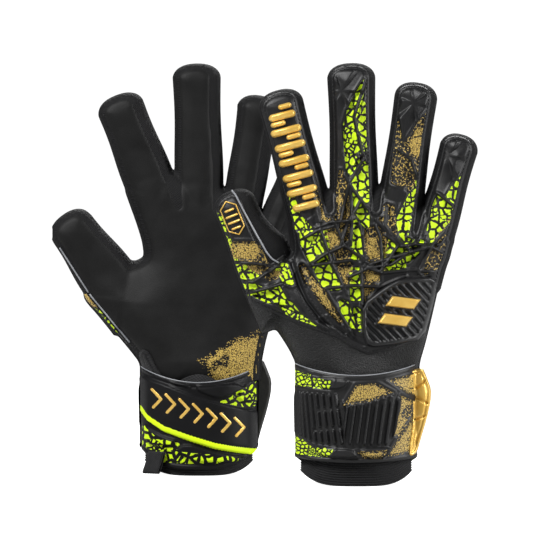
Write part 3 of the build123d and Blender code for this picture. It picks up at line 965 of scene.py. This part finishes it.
def make_back(glove):
    """Embossed and printed sheet of the backhand, with its stitches."""
    rows = GLOVES[glove]["rows"]
    shapes = outlines(glove, "back")
    base = shell_depth(glove)
    limes, golds, loose, strokes = (
        [moved(z, glove) for z in given] for given in (LIME, GOLD, LOOSE, STROKES))
    seam = moved(SEAM, glove)
    seeds = [(*moved([(u, v)], glove)[0], h) for u, v, h in NODES]
    state = np.random.default_rng(5)
    for u in np.arange(-100, 95, 13.5):
        for v in np.arange(78, 285, 12.5):
            seeds.append((u + state.uniform(-5, 5), v + state.uniform(-5, 5), state.uniform(-1.1, 1.3)))

    def hem(p):
        return (p[:, 1] - along(BORDER, p[:, 0])) * 0.93

    def value(p):
        return np.minimum(field(shapes, p, 1.2), hem(p))

    def pleats(p):
        """Folds that fan out from a knot on each fingertip, and where they are."""
        out, near = np.zeros(len(p)), np.zeros(len(p))
        knots = (("middle", 17.0, -6.5, 0.3), ("ring", 12.5, -1.0, 1.3), ("little", 15.0, -6.0, 0.5))
        for name, from_tip, aside, phase in knots:
            s, w = local(rows[name], p)
            ds, dw = s - (rows[name][3] - from_tip), w - aside
            r = np.hypot(ds, dw)
            saw = ((np.arctan2(dw, ds) + phase) / (2 * math.pi) * 6) % 1.0
            fold = np.where(saw < 0.8, saw / 0.8, (1 - saw) / 0.2)
            finger = (s > 0) * (np.abs(w) < 16)
            out = out + (2.2 * fold - 0.9) * smooth(0.5, 8.0, r) * (1 - smooth(18.0, 30.0, r)) * finger
            near = np.maximum(near, (1 - smooth(16.0, 24.0, r)) * finger)
        return out, near

    def zones(p):
        """Distance inside the lime and the gold zones, and from the raised strokes."""
        away = np.min([to_line(p, line) for line in strokes], axis=0)
        return (*(np.minimum(deepest(p, z) + 1.6, away - 1.15) for z in (limes, golds)), away)

    def height(p, d=None, found=None):
        d = value(p) if d is None else d
        lime, gold, away = zones(p) if found is None else found
        zone = np.maximum(lime, gold)
        groove, edge = to_line(p, seam), hem(p)
        lip = 1.7 * dome(d, 1.5) - 0.4
        channel = -0.65 * bell(d, 1.9, 0.6) + 0.9 * bell(edge, 4.4, 0.9) - 0.7 * bell(edge, 6.3, 0.7)
        fan, near = pleats(p)
        index_s, index_w = local(rows["index"], p)
        thumb_s, thumb_w = local(rows["thumb"], p)
        calm = np.maximum(
            smooth(-2, 2, index_s) * (1 - smooth(7, 9, np.abs(index_w + 1))),
            smooth(20, 23, thumb_s) * (1 - smooth(9, 13, np.abs(thumb_w))),
        )
        facets = facet_field(p, seeds) * (1 - smooth(-0.4, 0.2, zone)) * (1 - 0.85 * np.maximum(calm, near))
        sunk = 0.6 * bell(zone, -1.3, 0.8) - 1.15 * smooth(-0.1, 0.9, zone)
        stroke = 1.5 * np.clip(1 - away / 1.6, 0, 1)
        sewn = 0.7 * bell(groove, 2.6, 1.0) - 1.6 * bell(groove, 0, 0.9)
        relief = facets + sunk + 0.3 + stroke + sewn + fan * (1 - smooth(-0.6, 0.1, zone))
        return base(p) + lip + channel + smooth(2.3, 3.8, d) * relief

    uv, d, faces = lattice(value, (LO[0], 80), HI, 0.6 if glove == "right" else 1.0)
    found = zones(uv)
    depth = height(uv, d, found)
    inner = np.where(uv[:, 0] < -56, smooth(0.2, 0.8, d), smooth(2.3, 3.0, d))
    gold = two_level(found[1], 0.35, 1.2 * wrinkle(uv, 5.0, 4.0))
    gold = gold - 0.5 * smooth(-0.5, 0.5, deepest(uv, loose)) * (found[1] > 0.5)
    gold = np.clip(gold, 0, 1) * inner
    gold = np.where((found[1] > 0.35) & (inner > 0.5), np.maximum(gold, 0.5), gold)
    masks = {"lime": smooth(-0.35, 0.35, found[0]) * inner, "gold": gold}
    sides = [resample(seam, 2.5) + shift for shift in ((2.4, 1.1), (-2.4, -1.1))]
    stitches(glove, "seam_stitch", sides, height, -1, 2.4, 1.7, 0.7)
    world, flat = to_world(glove, uv, depth, -1), flat_of(uv, depth)
    split(glove, "backhand", world, faced(glove, -1, faces), [BACK], uv, masks, flat=flat)
    stitches(glove, "back_stitch", seam_paths(uv, faces, 1.9, value), height, -1, 2.4, 1.7, 0.7)


def moulding(glove, who, name, outline, top, side, material, bevel, pitch, lift, deep, relief=None):
    """A raised piece with a bevelled edge that follows the surface under it and sinks deep into it."""
    uv, d, faces = cut_out(outline, 1.5, pitch)
    depth = top(uv) - deep + (lift + deep) * dome(d, bevel)
    if relief is not None:
        depth = depth + relief(uv, d)
    world = to_world(glove, uv, depth, side)
    piece(glove, who, name, world, faced(glove, side, faces), [material], flat=flat_of(uv, depth))


def bar(a, b, width):
    """A rounded bar between two points."""
    a, b = np.asarray(a, float), np.asarray(b, float)
    t = (b - a) / np.linalg.norm(b - a)
    n = np.array([-t[1], t[0]]) * width / 2
    out = []
    for end, first in ((a, math.pi / 2), (b, -math.pi / 2)):
        for k in range(9):
            c = first + math.pi * k / 8
            out.append(tuple(end + t * math.cos(c) * width / 2 + n * math.sin(c)))
    return out


def make_mouldings(glove):
    """Punching pad with its emblem, bars along the index finger and a badge on the thumb."""
    base = shell_depth(glove)
    emblems = {"emblem_top": moved(EMBLEM, glove), "emblem_low": moved(EMBLEM_LOW, glove)}

    def top(p):
        return base(p) + 2.0

    def ribs(p, d):
        wave = 0.5 + 0.5 * np.cos(2 * math.pi * (p[:, 0] * 0.72 + p[:, 1] * 0.69) / 3.9)
        keep = smooth(3.2, 4.4, d)
        for outline in emblems.values():
            keep = keep * smooth(0.2, 1.3, -inside(p, outline))
        return 0.7 * bell(d, 2.2, 0.9) + keep * (2.3 * wave ** 0.8 - 1.7)

    pad = rounded(moved(PAD, glove), 1)
    moulding(glove, 0, "punch_pad_top", pad, top, -1, RUBBER, 1.4, 0.55, 2.3, 1.6, ribs)
    for name, outline in emblems.items():
        moulding(glove, 0, name, outline, top, -1, GILT, 1.2, 0.3, 5.2, 1.6)
    index, thumb = (GLOVES[glove]["rows"][name] for name in ("index", "thumb"))
    count = 0
    for k in range(7):
        s = 7 + (index[3] - 23) * k / 6
        wide = 6.4 if k in (0, 6) else 7.6
        short = (5.5, wide * 0.42, (-1) ** k * wide * 0.5, 3.6)
        for ahead, half, shift, thick in ((0.0, wide, 0, 5.0), short):
            ends = [at(index, s + ahead, w - 1.2 + shift) for w in (-half, half)]
            moulding(glove, 2, f"index_bar_{count}", bar(*ends, thick), top, -1, GILT, 1.3, 0.42, 2.1, 0.9)
            count += 1
    last = thumb[3] - 4.6
    first = last - 22.5
    aside = -4.3 if glove == "right" else 3.0
    corners = ((first, 0), (first + 4, 5.2), (last - 4, 5.2), (last, 0), (last - 4, -5.2), (first + 4, -5.2))
    ring = [at(thumb, s, w + aside) for s, w in corners]
    for k, ends in enumerate(zip(ring, ring[1:] + ring[:1])):
        moulding(glove, 1, f"badge_edge_{k}", bar(*ends, 0.9), top, -1, GILT, 0.45, 0.28, 0.8, 0.5)
    for k, (s, half) in enumerate(((4.5, 2.6), (8.5, 3.6), (12.5, 3.6), (16.5, 2.6))):
        ends = [at(thumb, first + s, aside + w) for w in (-half, half)]
        moulding(glove, 1, f"badge_bar_{k}", bar(*ends, 1.6), top, -1, GILT, 0.6, 0.3, 0.85, 0.5)


# ---------------------------------------------------------------- bands, cuffs and closure
def on_wrist(glove, size, t, v, out, side):
    """World points at angle t and height v on an ellipse round the wrist, raised by out along its normal."""
    g = GLOVES[glove]
    n = np.stack([np.cos(t) / size[0], np.sin(t) / size[1]], axis=1)
    n /= np.linalg.norm(n, axis=1)[:, None]
    x = size[0] * np.cos(t) + n[:, 0] * out
    y = size[1] * np.sin(t) + n[:, 1] * out
    return np.stack([g["x0"] + x, g["y0"] + g["palm"] * side * y, v], axis=1)


def wrap(glove, uv, size, out, side):
    """The points of a plane outline laid on the ellipse."""
    t = np.arccos(np.clip(uv[:, 0] / size[0], -0.999, 0.999))
    return on_wrist(glove, size, t, uv[:, 1], out, side)


def ring_grid(glove, size, ends, columns, low, high, rows, side, relief=None):
    """A surface round half of the wrist, from the ulnar side to the thumb side. side 1 is the palm half."""
    t = np.repeat(np.linspace(*ends, columns + 1), rows + 1)
    u = size[0] * np.cos(t)
    uv = np.stack([u, low(u) + (high(u) - low(u)) * np.tile(np.arange(rows + 1), columns + 1) / rows], axis=1)
    world = on_wrist(glove, size, t, uv[:, 1], relief(uv) if relief else 0, side)
    corners = [i * (rows + 1) + j for i in range(columns) for j in range(rows)]
    faces = [[a, a + rows + 1, a + rows + 2, a + 1] for a in corners]
    return world, turned(faces, GLOVES[glove]["palm"] * side != 1), uv, t


def pads_relief(uv, pads, high, bevel):
    return np.max([high * smooth(0, bevel, inside(uv, rounded(pad, 1))) for pad in pads], axis=0)


def band_high(u):
    return 70.7 + 7.1 * (u / 40) ** 2


def band_low(u):
    return 15.0 + 2.6 * (u / 40) ** 2


def palm_high(u):
    return 61.3 + 10.5 * (np.abs(u) / 40) ** 2


def palm_low(u):
    return 4.6 + 14.0 * (np.abs(u) / 40) ** 3


def strap_relief(uv):
    """Sewn edge, ribs, pads and sunk coloured zones of the strap, flatter towards its ends."""
    zone = deepest(uv, BAND_LIME + BAND_GOLD)
    u, v = uv[:, 0], uv[:, 1]
    arc = -12 + (np.arcsin(np.clip(u / 39.2, -1, 1)) - math.asin(-12 / 39.2)) * 39.2
    lean = np.where(u < -12, arc, u) - 0.13 * (v - 44) * np.where(u < -8, -1, 1)
    ridge = np.abs((lean / 4.5) % 1 - 0.5) * 4.5
    gap_field = smooth(-27, -26, u) * (1 - smooth(-9, -8, u))
    gap_line = np.minimum(np.abs(v - 38.5 - 0.1 * u), np.abs(v - 51 - 0.1 * u))
    broken = 1 - gap_field * (1 - smooth(0.8, 1.7, gap_line))
    rib = 2.3 * smooth(0, 1.2, inside(uv, RIB_FIELD)) * (1 - smooth(0.4, 1.2, ridge)) * broken
    edge = np.minimum(v - band_low(u), band_high(u) - v)
    binding = 0.7 * smooth(0, 1.0, edge) - 0.8 * bell(edge, 3.2, 0.7)
    sunk = 0.5 * bell(zone, -1.2, 0.8) - 0.6 * smooth(0, 0.8, zone)
    side = 1 - smooth(31, 38, np.abs(u))
    return (binding + rib + pads_relief(uv, BAND_PADS, 2.1, 1.3) + sunk) * (0.3 + 0.7 * side) + 0.1


def palm_band_relief(uv):
    """Sewn edge, diagonal panel, pads and the seams of the stripe on the band's palm side."""
    u, v = uv[:, 0], uv[:, 1]
    top, low = along(PANEL_TOP, u), along(STRIPE, u)
    panel = smooth(0, 0.9, np.minimum(top - v, v - low + 2.2)) * 1.9
    edge = np.minimum(v - palm_low(u), palm_high(u) - v)
    binding = 0.6 * smooth(0, 1.0, edge) - 0.8 * bell(edge, 3.0, 0.7)
    seam = -0.6 * bell(np.abs(v - low), 2.2, 0.5)
    side = (1 - smooth(31, 37.5, np.abs(u))) * (1 - smooth(-18, -20, u) * (1 - smooth(19, 21, v)))
    raised = np.maximum(panel, pads_relief(uv, PALM_PADS, 1.9, 1.1))
    return (binding + raised + seam) * (0.3 + 0.7 * side)


def make_bands(glove):
    """Strap over the back, band on the palm side, and the band's plain half under the strap."""
    columns, rows, inner_rows = 260, 96, 2
    ends = (0.03, math.pi - 0.03)
    world, faces, uv, _ = ring_grid(
        glove, STRAP_SIZE, ends, columns, band_low, band_high, rows, -1, strap_relief)
    hidden, hidden_faces, hidden_uv, _ = ring_grid(
        glove, (37.4, 28.4), ends, columns, band_low, band_high, inner_rows, -1)
    fray = 1.6 * wrinkle(uv, 2.6, 1.0)
    masks = {
        "lime": smooth(-0.4, 0.4, deepest(uv, BAND_LIME) + fray * 0.5),
        "gold": two_level(deepest(uv, BAND_GOLD), 0.4, fray * 0.6),
    }
    masks = {m: np.concatenate([x, np.zeros(len(hidden))]) for m, x in masks.items()}
    n = len(world)
    rim = []
    for i in range(columns):
        for j, k in ((0, 0), (rows, inner_rows)):
            a, c = i * (rows + 1) + j, n + i * (inner_rows + 1) + k
            b, d = a + rows + 1, c + inner_rows + 1
            rim.append([a, c, d, b] if j == 0 else [a, b, d, c])
    rim = turned(rim, GLOVES[glove]["palm"] == 1)
    inner = [[x + n for x in f] for f in turned(hidden_faces)]
    slots = [0] * len(faces) + [1] * len(inner) + [0] * len(rim)
    flat = flat_of(np.concatenate([uv, hidden_uv]), 0)
    world = np.concatenate([world, hidden])
    piece(glove, "strap", "strap_shell", world, faces + inner + rim, [BAND, HOOKS], masks, slots, flat)

    world, faces, uv, _ = ring_grid(glove, BAND_SIZE, (0.0, math.pi), 170, palm_low, palm_high, 84, 1,
                                    palm_band_relief)
    masks = {
        "lime": smooth(-0.4, 0.4, deepest(uv, PALM_BAND_LIME)) * (np.abs(uv[:, 0]) < 37.2),
        "gold": np.zeros(len(uv)),
        "stripe": smooth(-0.3, 0.3, 1.9 - to_line(uv, STRIPE)),
    }
    piece(glove, 0, "bandage_shell", world, faces, [PALM_BAND], masks, flat=flat_of(uv, 0))

    def ripple(p):
        return 0.25 * np.sin(p[:, 1] * 1.1) + 0.9 * smooth(18, 31, np.abs(p[:, 0]))

    world, faces, uv, t = ring_grid(glove, (36.4, 27.4), (-0.04, math.pi + 0.04), 90, lambda u: 17.0,
                                    lambda u: 70.0, 30, -1, ripple)
    around = np.arctan2(np.sin(t), np.cos(t)) * 33
    flat = np.stack([around, uv[:, 1], around * 0], axis=1)
    piece(glove, 0, "bandage_back", world, faces, [HOOKS], flat=flat)


def make_motif(glove):
    """A plain row of chevrons on the diagonal panel of the palm side."""
    verts, flat, faces = [], [], []
    count = 0
    for k in range(7):
        u = -26 + 8.6 * k
        v = 50.3 - 0.36 * (u + 25)
        tip = (u + 2.7, v - 0.4)
        for ends in (((u - 2.9, v + 5.8), tip), (tip, (u - 2.1, v - 5.9))):
            uv, d, own = cut_out(bar(*ends, 2.5), 1, 0.45)
            out = 2.15 + 0.55 * dome(d, 0.6)
            faces += [[a + count for a in f] for f in faced(glove, 1, own)]
            count += len(uv)
            verts.append(wrap(glove, uv, BAND_SIZE, out, 1))
            flat.append(flat_of(uv, out))
    piece(glove, 0, "motif", np.concatenate(verts), faces, [GILT], flat=np.concatenate(flat))


def double_wall(glove, name, rings, material):
    """Outer rings, then as many inner ones, closed along the bottom."""
    columns, half = len(rings[0]), len(rings) // 2
    n = half * columns
    faces = ring_faces(half, columns) + turned(ring_faces(half, columns, n))
    for a in range(columns):
        b = (a + 1) % columns
        faces.append([a, n + a, n + b, b])
    piece(glove, 0, name, np.concatenate(rings), faces, [material])


def make_cuff(glove):
    """Ribbed elastic cuff with an inner wall, and the lining seen from below."""
    palm = GLOVES[glove]["palm"]
    levels = 64
    t = 2 * math.pi * np.arange(180) / 180
    rings = []
    for size, outer in (((35.4, 26.8), 1), ((33.4, 24.8), 0)):
        low = 9.8 * (np.abs(size[0] * np.cos(t)) / 36.0) ** 4
        for j in range(levels + 1):
            v = low + (26 - low) * j / levels
            rib = 0.38 * np.cos(2 * math.pi * (v - low) / 1.55) + (0.2 if j < 3 else 0)
            rings.append(on_wrist(glove, size, t, v, rib * outer, palm))
    double_wall(glove, "cuff", rings, ELASTIC)
    t = 2 * math.pi * np.arange(120) / 120
    rings = []
    for size in ((33.2, 24.6), (32.2, 23.6)):
        rings += [on_wrist(glove, size, t, np.full(120, v), 0, palm) for v in np.linspace(9, 82, 14)]
    double_wall(glove, "gaiter_lining", rings, LINING)


def make_tab(glove):
    """Moulded pull tab with three facets, gold outside and dark inside."""
    uv, d, faces = cut_out(rounded(TAB, 1), 1, 0.55)
    u, v = uv[:, 0], uv[:, 1]
    fold = 1.9 - 0.42 * np.abs(u - np.interp(v, [18, 40, 56, 75], [37, 41.5, 43.5, 40.5]))
    grooves = 0
    for line in ([(36, 57), (48, 51)], [(35, 41), (46, 45)], [(38, 62), (46, 68)]):
        grooves = grooves - 1.5 * bell(to_line(uv, line), 0, 0.7)
    rim = 0.7 * bell(d, 1.0, 0.6) - 0.9 * bell(d, 2.3, 0.6)
    lean = np.clip(38.5 - u, 0, 8) * 1.35
    outer = 7.0 + lean + 2.6 * dome(d, 1.4) + fold + grooves * smooth(0.8, 1.6, d) + rim
    inner = 6.6 + lean - 2.2 * dome(d, 1.4)
    n = len(uv)
    walls = [[a, a + n, b + n, b] for a, b in rim_edges(faces)]
    inside_faces = [[x + n for x in f] for f in faced(glove, 1, faces)]
    out = faced(glove, -1, faces) + inside_faces + faced(glove, -1, walls)
    slots = [0] * len(faces) + [1] * (len(faces) + len(walls))
    verts = np.concatenate([to_world(glove, uv, depth, -1) for depth in (outer, inner)])
    flat = np.concatenate([flat_of(uv, outer)] * 2)
    piece(glove, "strap", "tab", verts, out, [GILT, DARK], slots=slots, flat=flat)


def tube(path, radius, sides=8):
    """A round cord along a path, with flat ends."""
    tang = np.gradient(path, axis=0)
    tang /= np.linalg.norm(tang, axis=1)[:, None]
    verts = []
    for p, t in zip(path, tang):
        a = np.cross(t, (0, 1.0, 0))
        a /= max(np.linalg.norm(a), 1e-6)
        b = np.cross(a, t)
        for k in range(sides):
            c = 2 * math.pi * k / sides
            verts.append(p + radius * (math.cos(c) * a + math.sin(c) * b))
    last = (len(path) - 1) * sides
    return verts, ring_faces(len(path), sides) + [list(range(sides))[::-1], list(range(last, last + sides))]


def make_piping(glove):
    """Pale line on the top edge of the strap and of the band."""
    t = np.linspace(0.1, math.pi - 0.1, 90)
    for side, size, high, who, name in ((-1, STRAP_SIZE, band_high, "strap", "band_line_back"),
                                        (1, BAND_SIZE, palm_high, 0, "band_line_palm")):
        path = on_wrist(glove, size, t, high(size[0] * np.cos(t)), 0.2, side)
        piece(glove, who, name, *tube(path, 0.34), [PIPING])


def make_thumb_trim(glove):
    """Pale piping on the thumb, on the palm side of the left glove and on the back of the right one."""
    row = GLOVES[glove]["rows"]["thumb"]
    if glove == "left":
        side, lift = 1, 0.4
        line = [at(row, s, -17.1 + 0.055 * max(s, 0)) for s in np.linspace(34, -4, 20)]
        line += [(-66, 109.5), (-56, 97.5), (-46.5, 86)]
        line = [(u + 1.1, v + 0.9) for u, v in line]
    else:
        side, lift = -1, 1.2
        line = [(-79.5, 188), (-77, 185), (-72.3, 175.7), (-64.6, 161.6), (-57.2, 148.5), (-54, 144.5),
                (-49.5, 141.8)]
    pts = resample(line, 1.2)
    who = owners(glove, pts)
    for k in (0, 1):
        run = pts[who == k]
        if len(run) > 2:
            path = to_world(glove, run, shell_depth(glove)(run) + lift, side)
            piece(glove, k, f"{PARTS[k]}_piping", *tube(path, 0.55), [PIPING])


def make_thumb_edge(glove):
    """Narrow strip of the left glove's printed back foam that wraps round the outer edge of the thumb."""
    outline = [(-46.3, 85.6), (-55.9, 97.0), (-65.9, 108.9), (-75.5, 120.5), (-76.6, 119.6), (-73.2, 113.6),
               (-66.4, 107.2), (-55.5, 95.2), (-45.2, 83.2)]
    uv, d, faces = lattice(lambda p: inside(p, outline), (-80, 80), (-40, 124), 0.5)
    depth = shell_depth(glove)(uv) + 0.7 * dome(d, 0.7) - 0.1
    v = uv[:, 1]
    masks = {"lime": ((v > 93) & (v < 109)) * 1.0, "gold": ((v > 110) & (v < 119)) * 1.0}
    world = to_world(glove, uv, depth, 1)
    split(glove, "edge_strip", world, faces, [BACK], uv, masks, flat=flat_of(uv, depth))


def make_tongue(glove):
    """Small folded tongue of webbing at the thumb side of the band, in two layers."""
    low = [(-40, 80), (-36.5, 83.5), (-32, 81), (-26.5, 70), (-23, 64.5), (-30, 62.5), (-37, 69)]
    high = [(-38, 79.5), (-35.5, 81), (-30, 71), (-27.5, 65), (-31, 64.5), (-35, 71)]
    base = shell_depth(glove)
    for k, (outline, lift) in enumerate(((low, 2.0), (high, 3.1))):
        moulding(glove, 0, f"tongue_{k}", rounded(outline, 1), base, 1, WEBBING, 1.0, 0.8, lift, 0.6)


def make_loop(glove):
    """Folded webbing loop that hangs on the thumb side of the palm."""
    g = GLOVES[glove]
    lo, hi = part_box(f"{glove}_pull_loop")
    top, low = hi[2] * 1000 - 0.2, lo[2] * 1000 + 0.2
    turn = math.radians(130)
    a, b = 39.5, 30.5
    foot = np.array([a * math.cos(turn), b * math.sin(turn) * g["palm"]])
    n = np.array([math.cos(turn) / a, math.sin(turn) * g["palm"] / b])
    n /= np.linalg.norm(n)
    across = np.array([-n[1], n[0]])
    straight = top - low - 2.0
    section = []
    for k in range(25):
        q = k / 24
        if q < 0.4:
            section.append((0.9, top - straight * q / 0.4))
        elif q < 0.6:
            c = math.pi * (q - 0.4) / 0.2
            section.append((2.3 - 1.4 * math.cos(c), low + 2.0 - 1.6 * math.sin(c)))
        else:
            out = 3.7 - 0.5 * math.sin((q - 0.6) / 0.4 * math.pi)
            section.append((out, low + 2.0 + straight * (q - 0.6) / 0.4))
    section = np.array(section)
    tang = np.gradient(section, axis=0)
    tang /= np.linalg.norm(tang, axis=1)[:, None]
    norm = np.stack([-tang[:, 1], tang[:, 0]], axis=1)
    columns = 12
    verts, flat = [], []
    for off in (0.4, -0.4):
        for k in range(25):
            for j in range(columns + 1):
                w = (j / columns - 0.5) * 12.0
                edge = math.copysign(0.12, off) * math.cos(j * math.pi)
                o = section[k] + norm[k] * (off + edge * 0.5)
                x = foot + n * (0.9 + o[0]) + across * (w + 0.34 * (o[1] - top))
                verts.append((g["x0"] + x[0], g["y0"] + x[1], o[1]))
                flat.append((w, k * 1.3, off))
    faces = []
    row = columns + 1
    m = 25 * row
    for k in range(24):
        for p in range(k * row, k * row + columns):
            q = [p, p + 1, p + row + 1, p + row]
            faces += [q, [x + m for x in q[::-1]]]
        for p, flip in ((k * row, False), (k * row + columns, True)):
            faces += turned([[p, p + row, p + row + m, p + m]], flip)
    for k in (0, 24):
        faces += turned([[p, p + m, p + m + 1, p + 1] for p in range(k * row, k * row + columns)], k == 24)
    ob = piece(glove, "pull_loop", "loop", verts, faces, [WEBBING], flat=flat)


# ---------------------------------------------------------------- both gloves
REPLACES = {
    "hand_palm": ["palm_foam"], "hand_backhand": ["back_panel"], "hand_shell": ["back_mesh", "hand_lining"],
    "gaiter_lining": ["wrist_gaiter"], "bandage_shell": ["bandage"], "bandage_back": ["loop_patch"],
    "cuff": ["elastic_cuff"], "punch_pad_top": ["punch_pad"], "emblem_top": ["emblem"],
    "index_bar_0": ["index_bars"], "strap_shell": ["strap", "hook_patch"], "tab": ["strap_tab"],
    "loop": ["pull_loop"],
}
for name in NAMES:
    REPLACES[f"{name}_palm"] = [f"{name}_foam"]
    REPLACES[f"{name}_shell"] = [f"{name}_gusset"]
    REPLACES[f"{name}_backhand"] = [f"{name}_back"]
for glove in GLOVES:
    for make in (make_shell, make_palm, make_back, make_mouldings, make_bands, make_motif, make_cuff,
                 make_tab, make_piping, make_thumb_trim):
        make(glove)
    if glove == "left":
        make_thumb_edge(glove)
    make_tongue(glove)
    make_loop(glove)
    for name, nodes in REPLACES.items():
        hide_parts(*[f"{glove}_{n}" for n in nodes])

# ---------------------------------------------------------------- floor, light, camera
WHITE = (1, 1, 1, 1)
bpy.ops.mesh.primitive_plane_add(size=14, location=(0, 0, 0))
floor = bpy.context.object
floor.name = "floor"
grey, tree, sockets = shader("floor", (0.5, 0.5, 0.5), 0.9)
sockets["Emission Color"].default_value = WHITE
feed(tree, sockets["Emission Strength"], node(tree, "ShaderNodeLightPath").outputs["Is Camera Ray"])
floor.data.materials.append(grey)

# The sky is white to the camera and dim to everything else
world = bpy.data.worlds.new("world")
bpy.context.scene.world = world
world.use_nodes = True
sky = world.node_tree
lit = sky.nodes["Background"]
lit.inputs[0].default_value = WHITE
lit.inputs[1].default_value = 0.13
seen = node(sky, "ShaderNodeBackground", {"Color": WHITE, "Strength": 1.05})
ray = node(sky, "ShaderNodeLightPath").outputs["Is Camera Ray"]
which = node(sky, "ShaderNodeMixShader", {0: ray, 1: lit.outputs[0], 2: seen.outputs[0]})
feed(sky, sky.nodes["World Output"].inputs["Surface"], which.outputs[0])


def area(name, place, target, size, power):
    data = bpy.data.lights.new(name, "AREA")
    data.shape = "RECTANGLE"
    data.size, data.size_y = size
    data.energy = power
    ob = bpy.data.objects.new(name, data)
    ob.location = place
    ob.rotation_euler = (Vector(target) - Vector(place)).to_track_quat("-Z", "Y").to_euler()
    bpy.context.scene.collection.objects.link(ob)


area("key", (-0.8, -0.75, 1.25), (0, 0, 0.14), (0.5, 0.5), 29)
area("side", (1.25, -0.35, 0.55), (0, 0, 0.14), (0.25, 0.9), 15)
area("back", (0.2, 1.1, 0.9), (0, 0, 0.16), (1.2, 0.5), 15)

bpy.context.scene.view_settings.view_transform = "Standard"
cam_data = bpy.data.cameras.new("camera")
cam_data.lens = 384.5
cam_data.sensor_width = 36
cam_data.clip_end = 30
camera = bpy.data.objects.new("camera", cam_data)
bpy.context.scene.collection.objects.link(camera)
aim = Vector((0.0024, 0, 0.138))
rise = math.radians(1.3)
camera.location = aim + Vector((0, -math.cos(rise), math.sin(rise))) * 3.7
camera.rotation_euler = (aim - camera.location).to_track_quat("-Z", "Y").to_euler()
bpy.context.scene.camera = camera
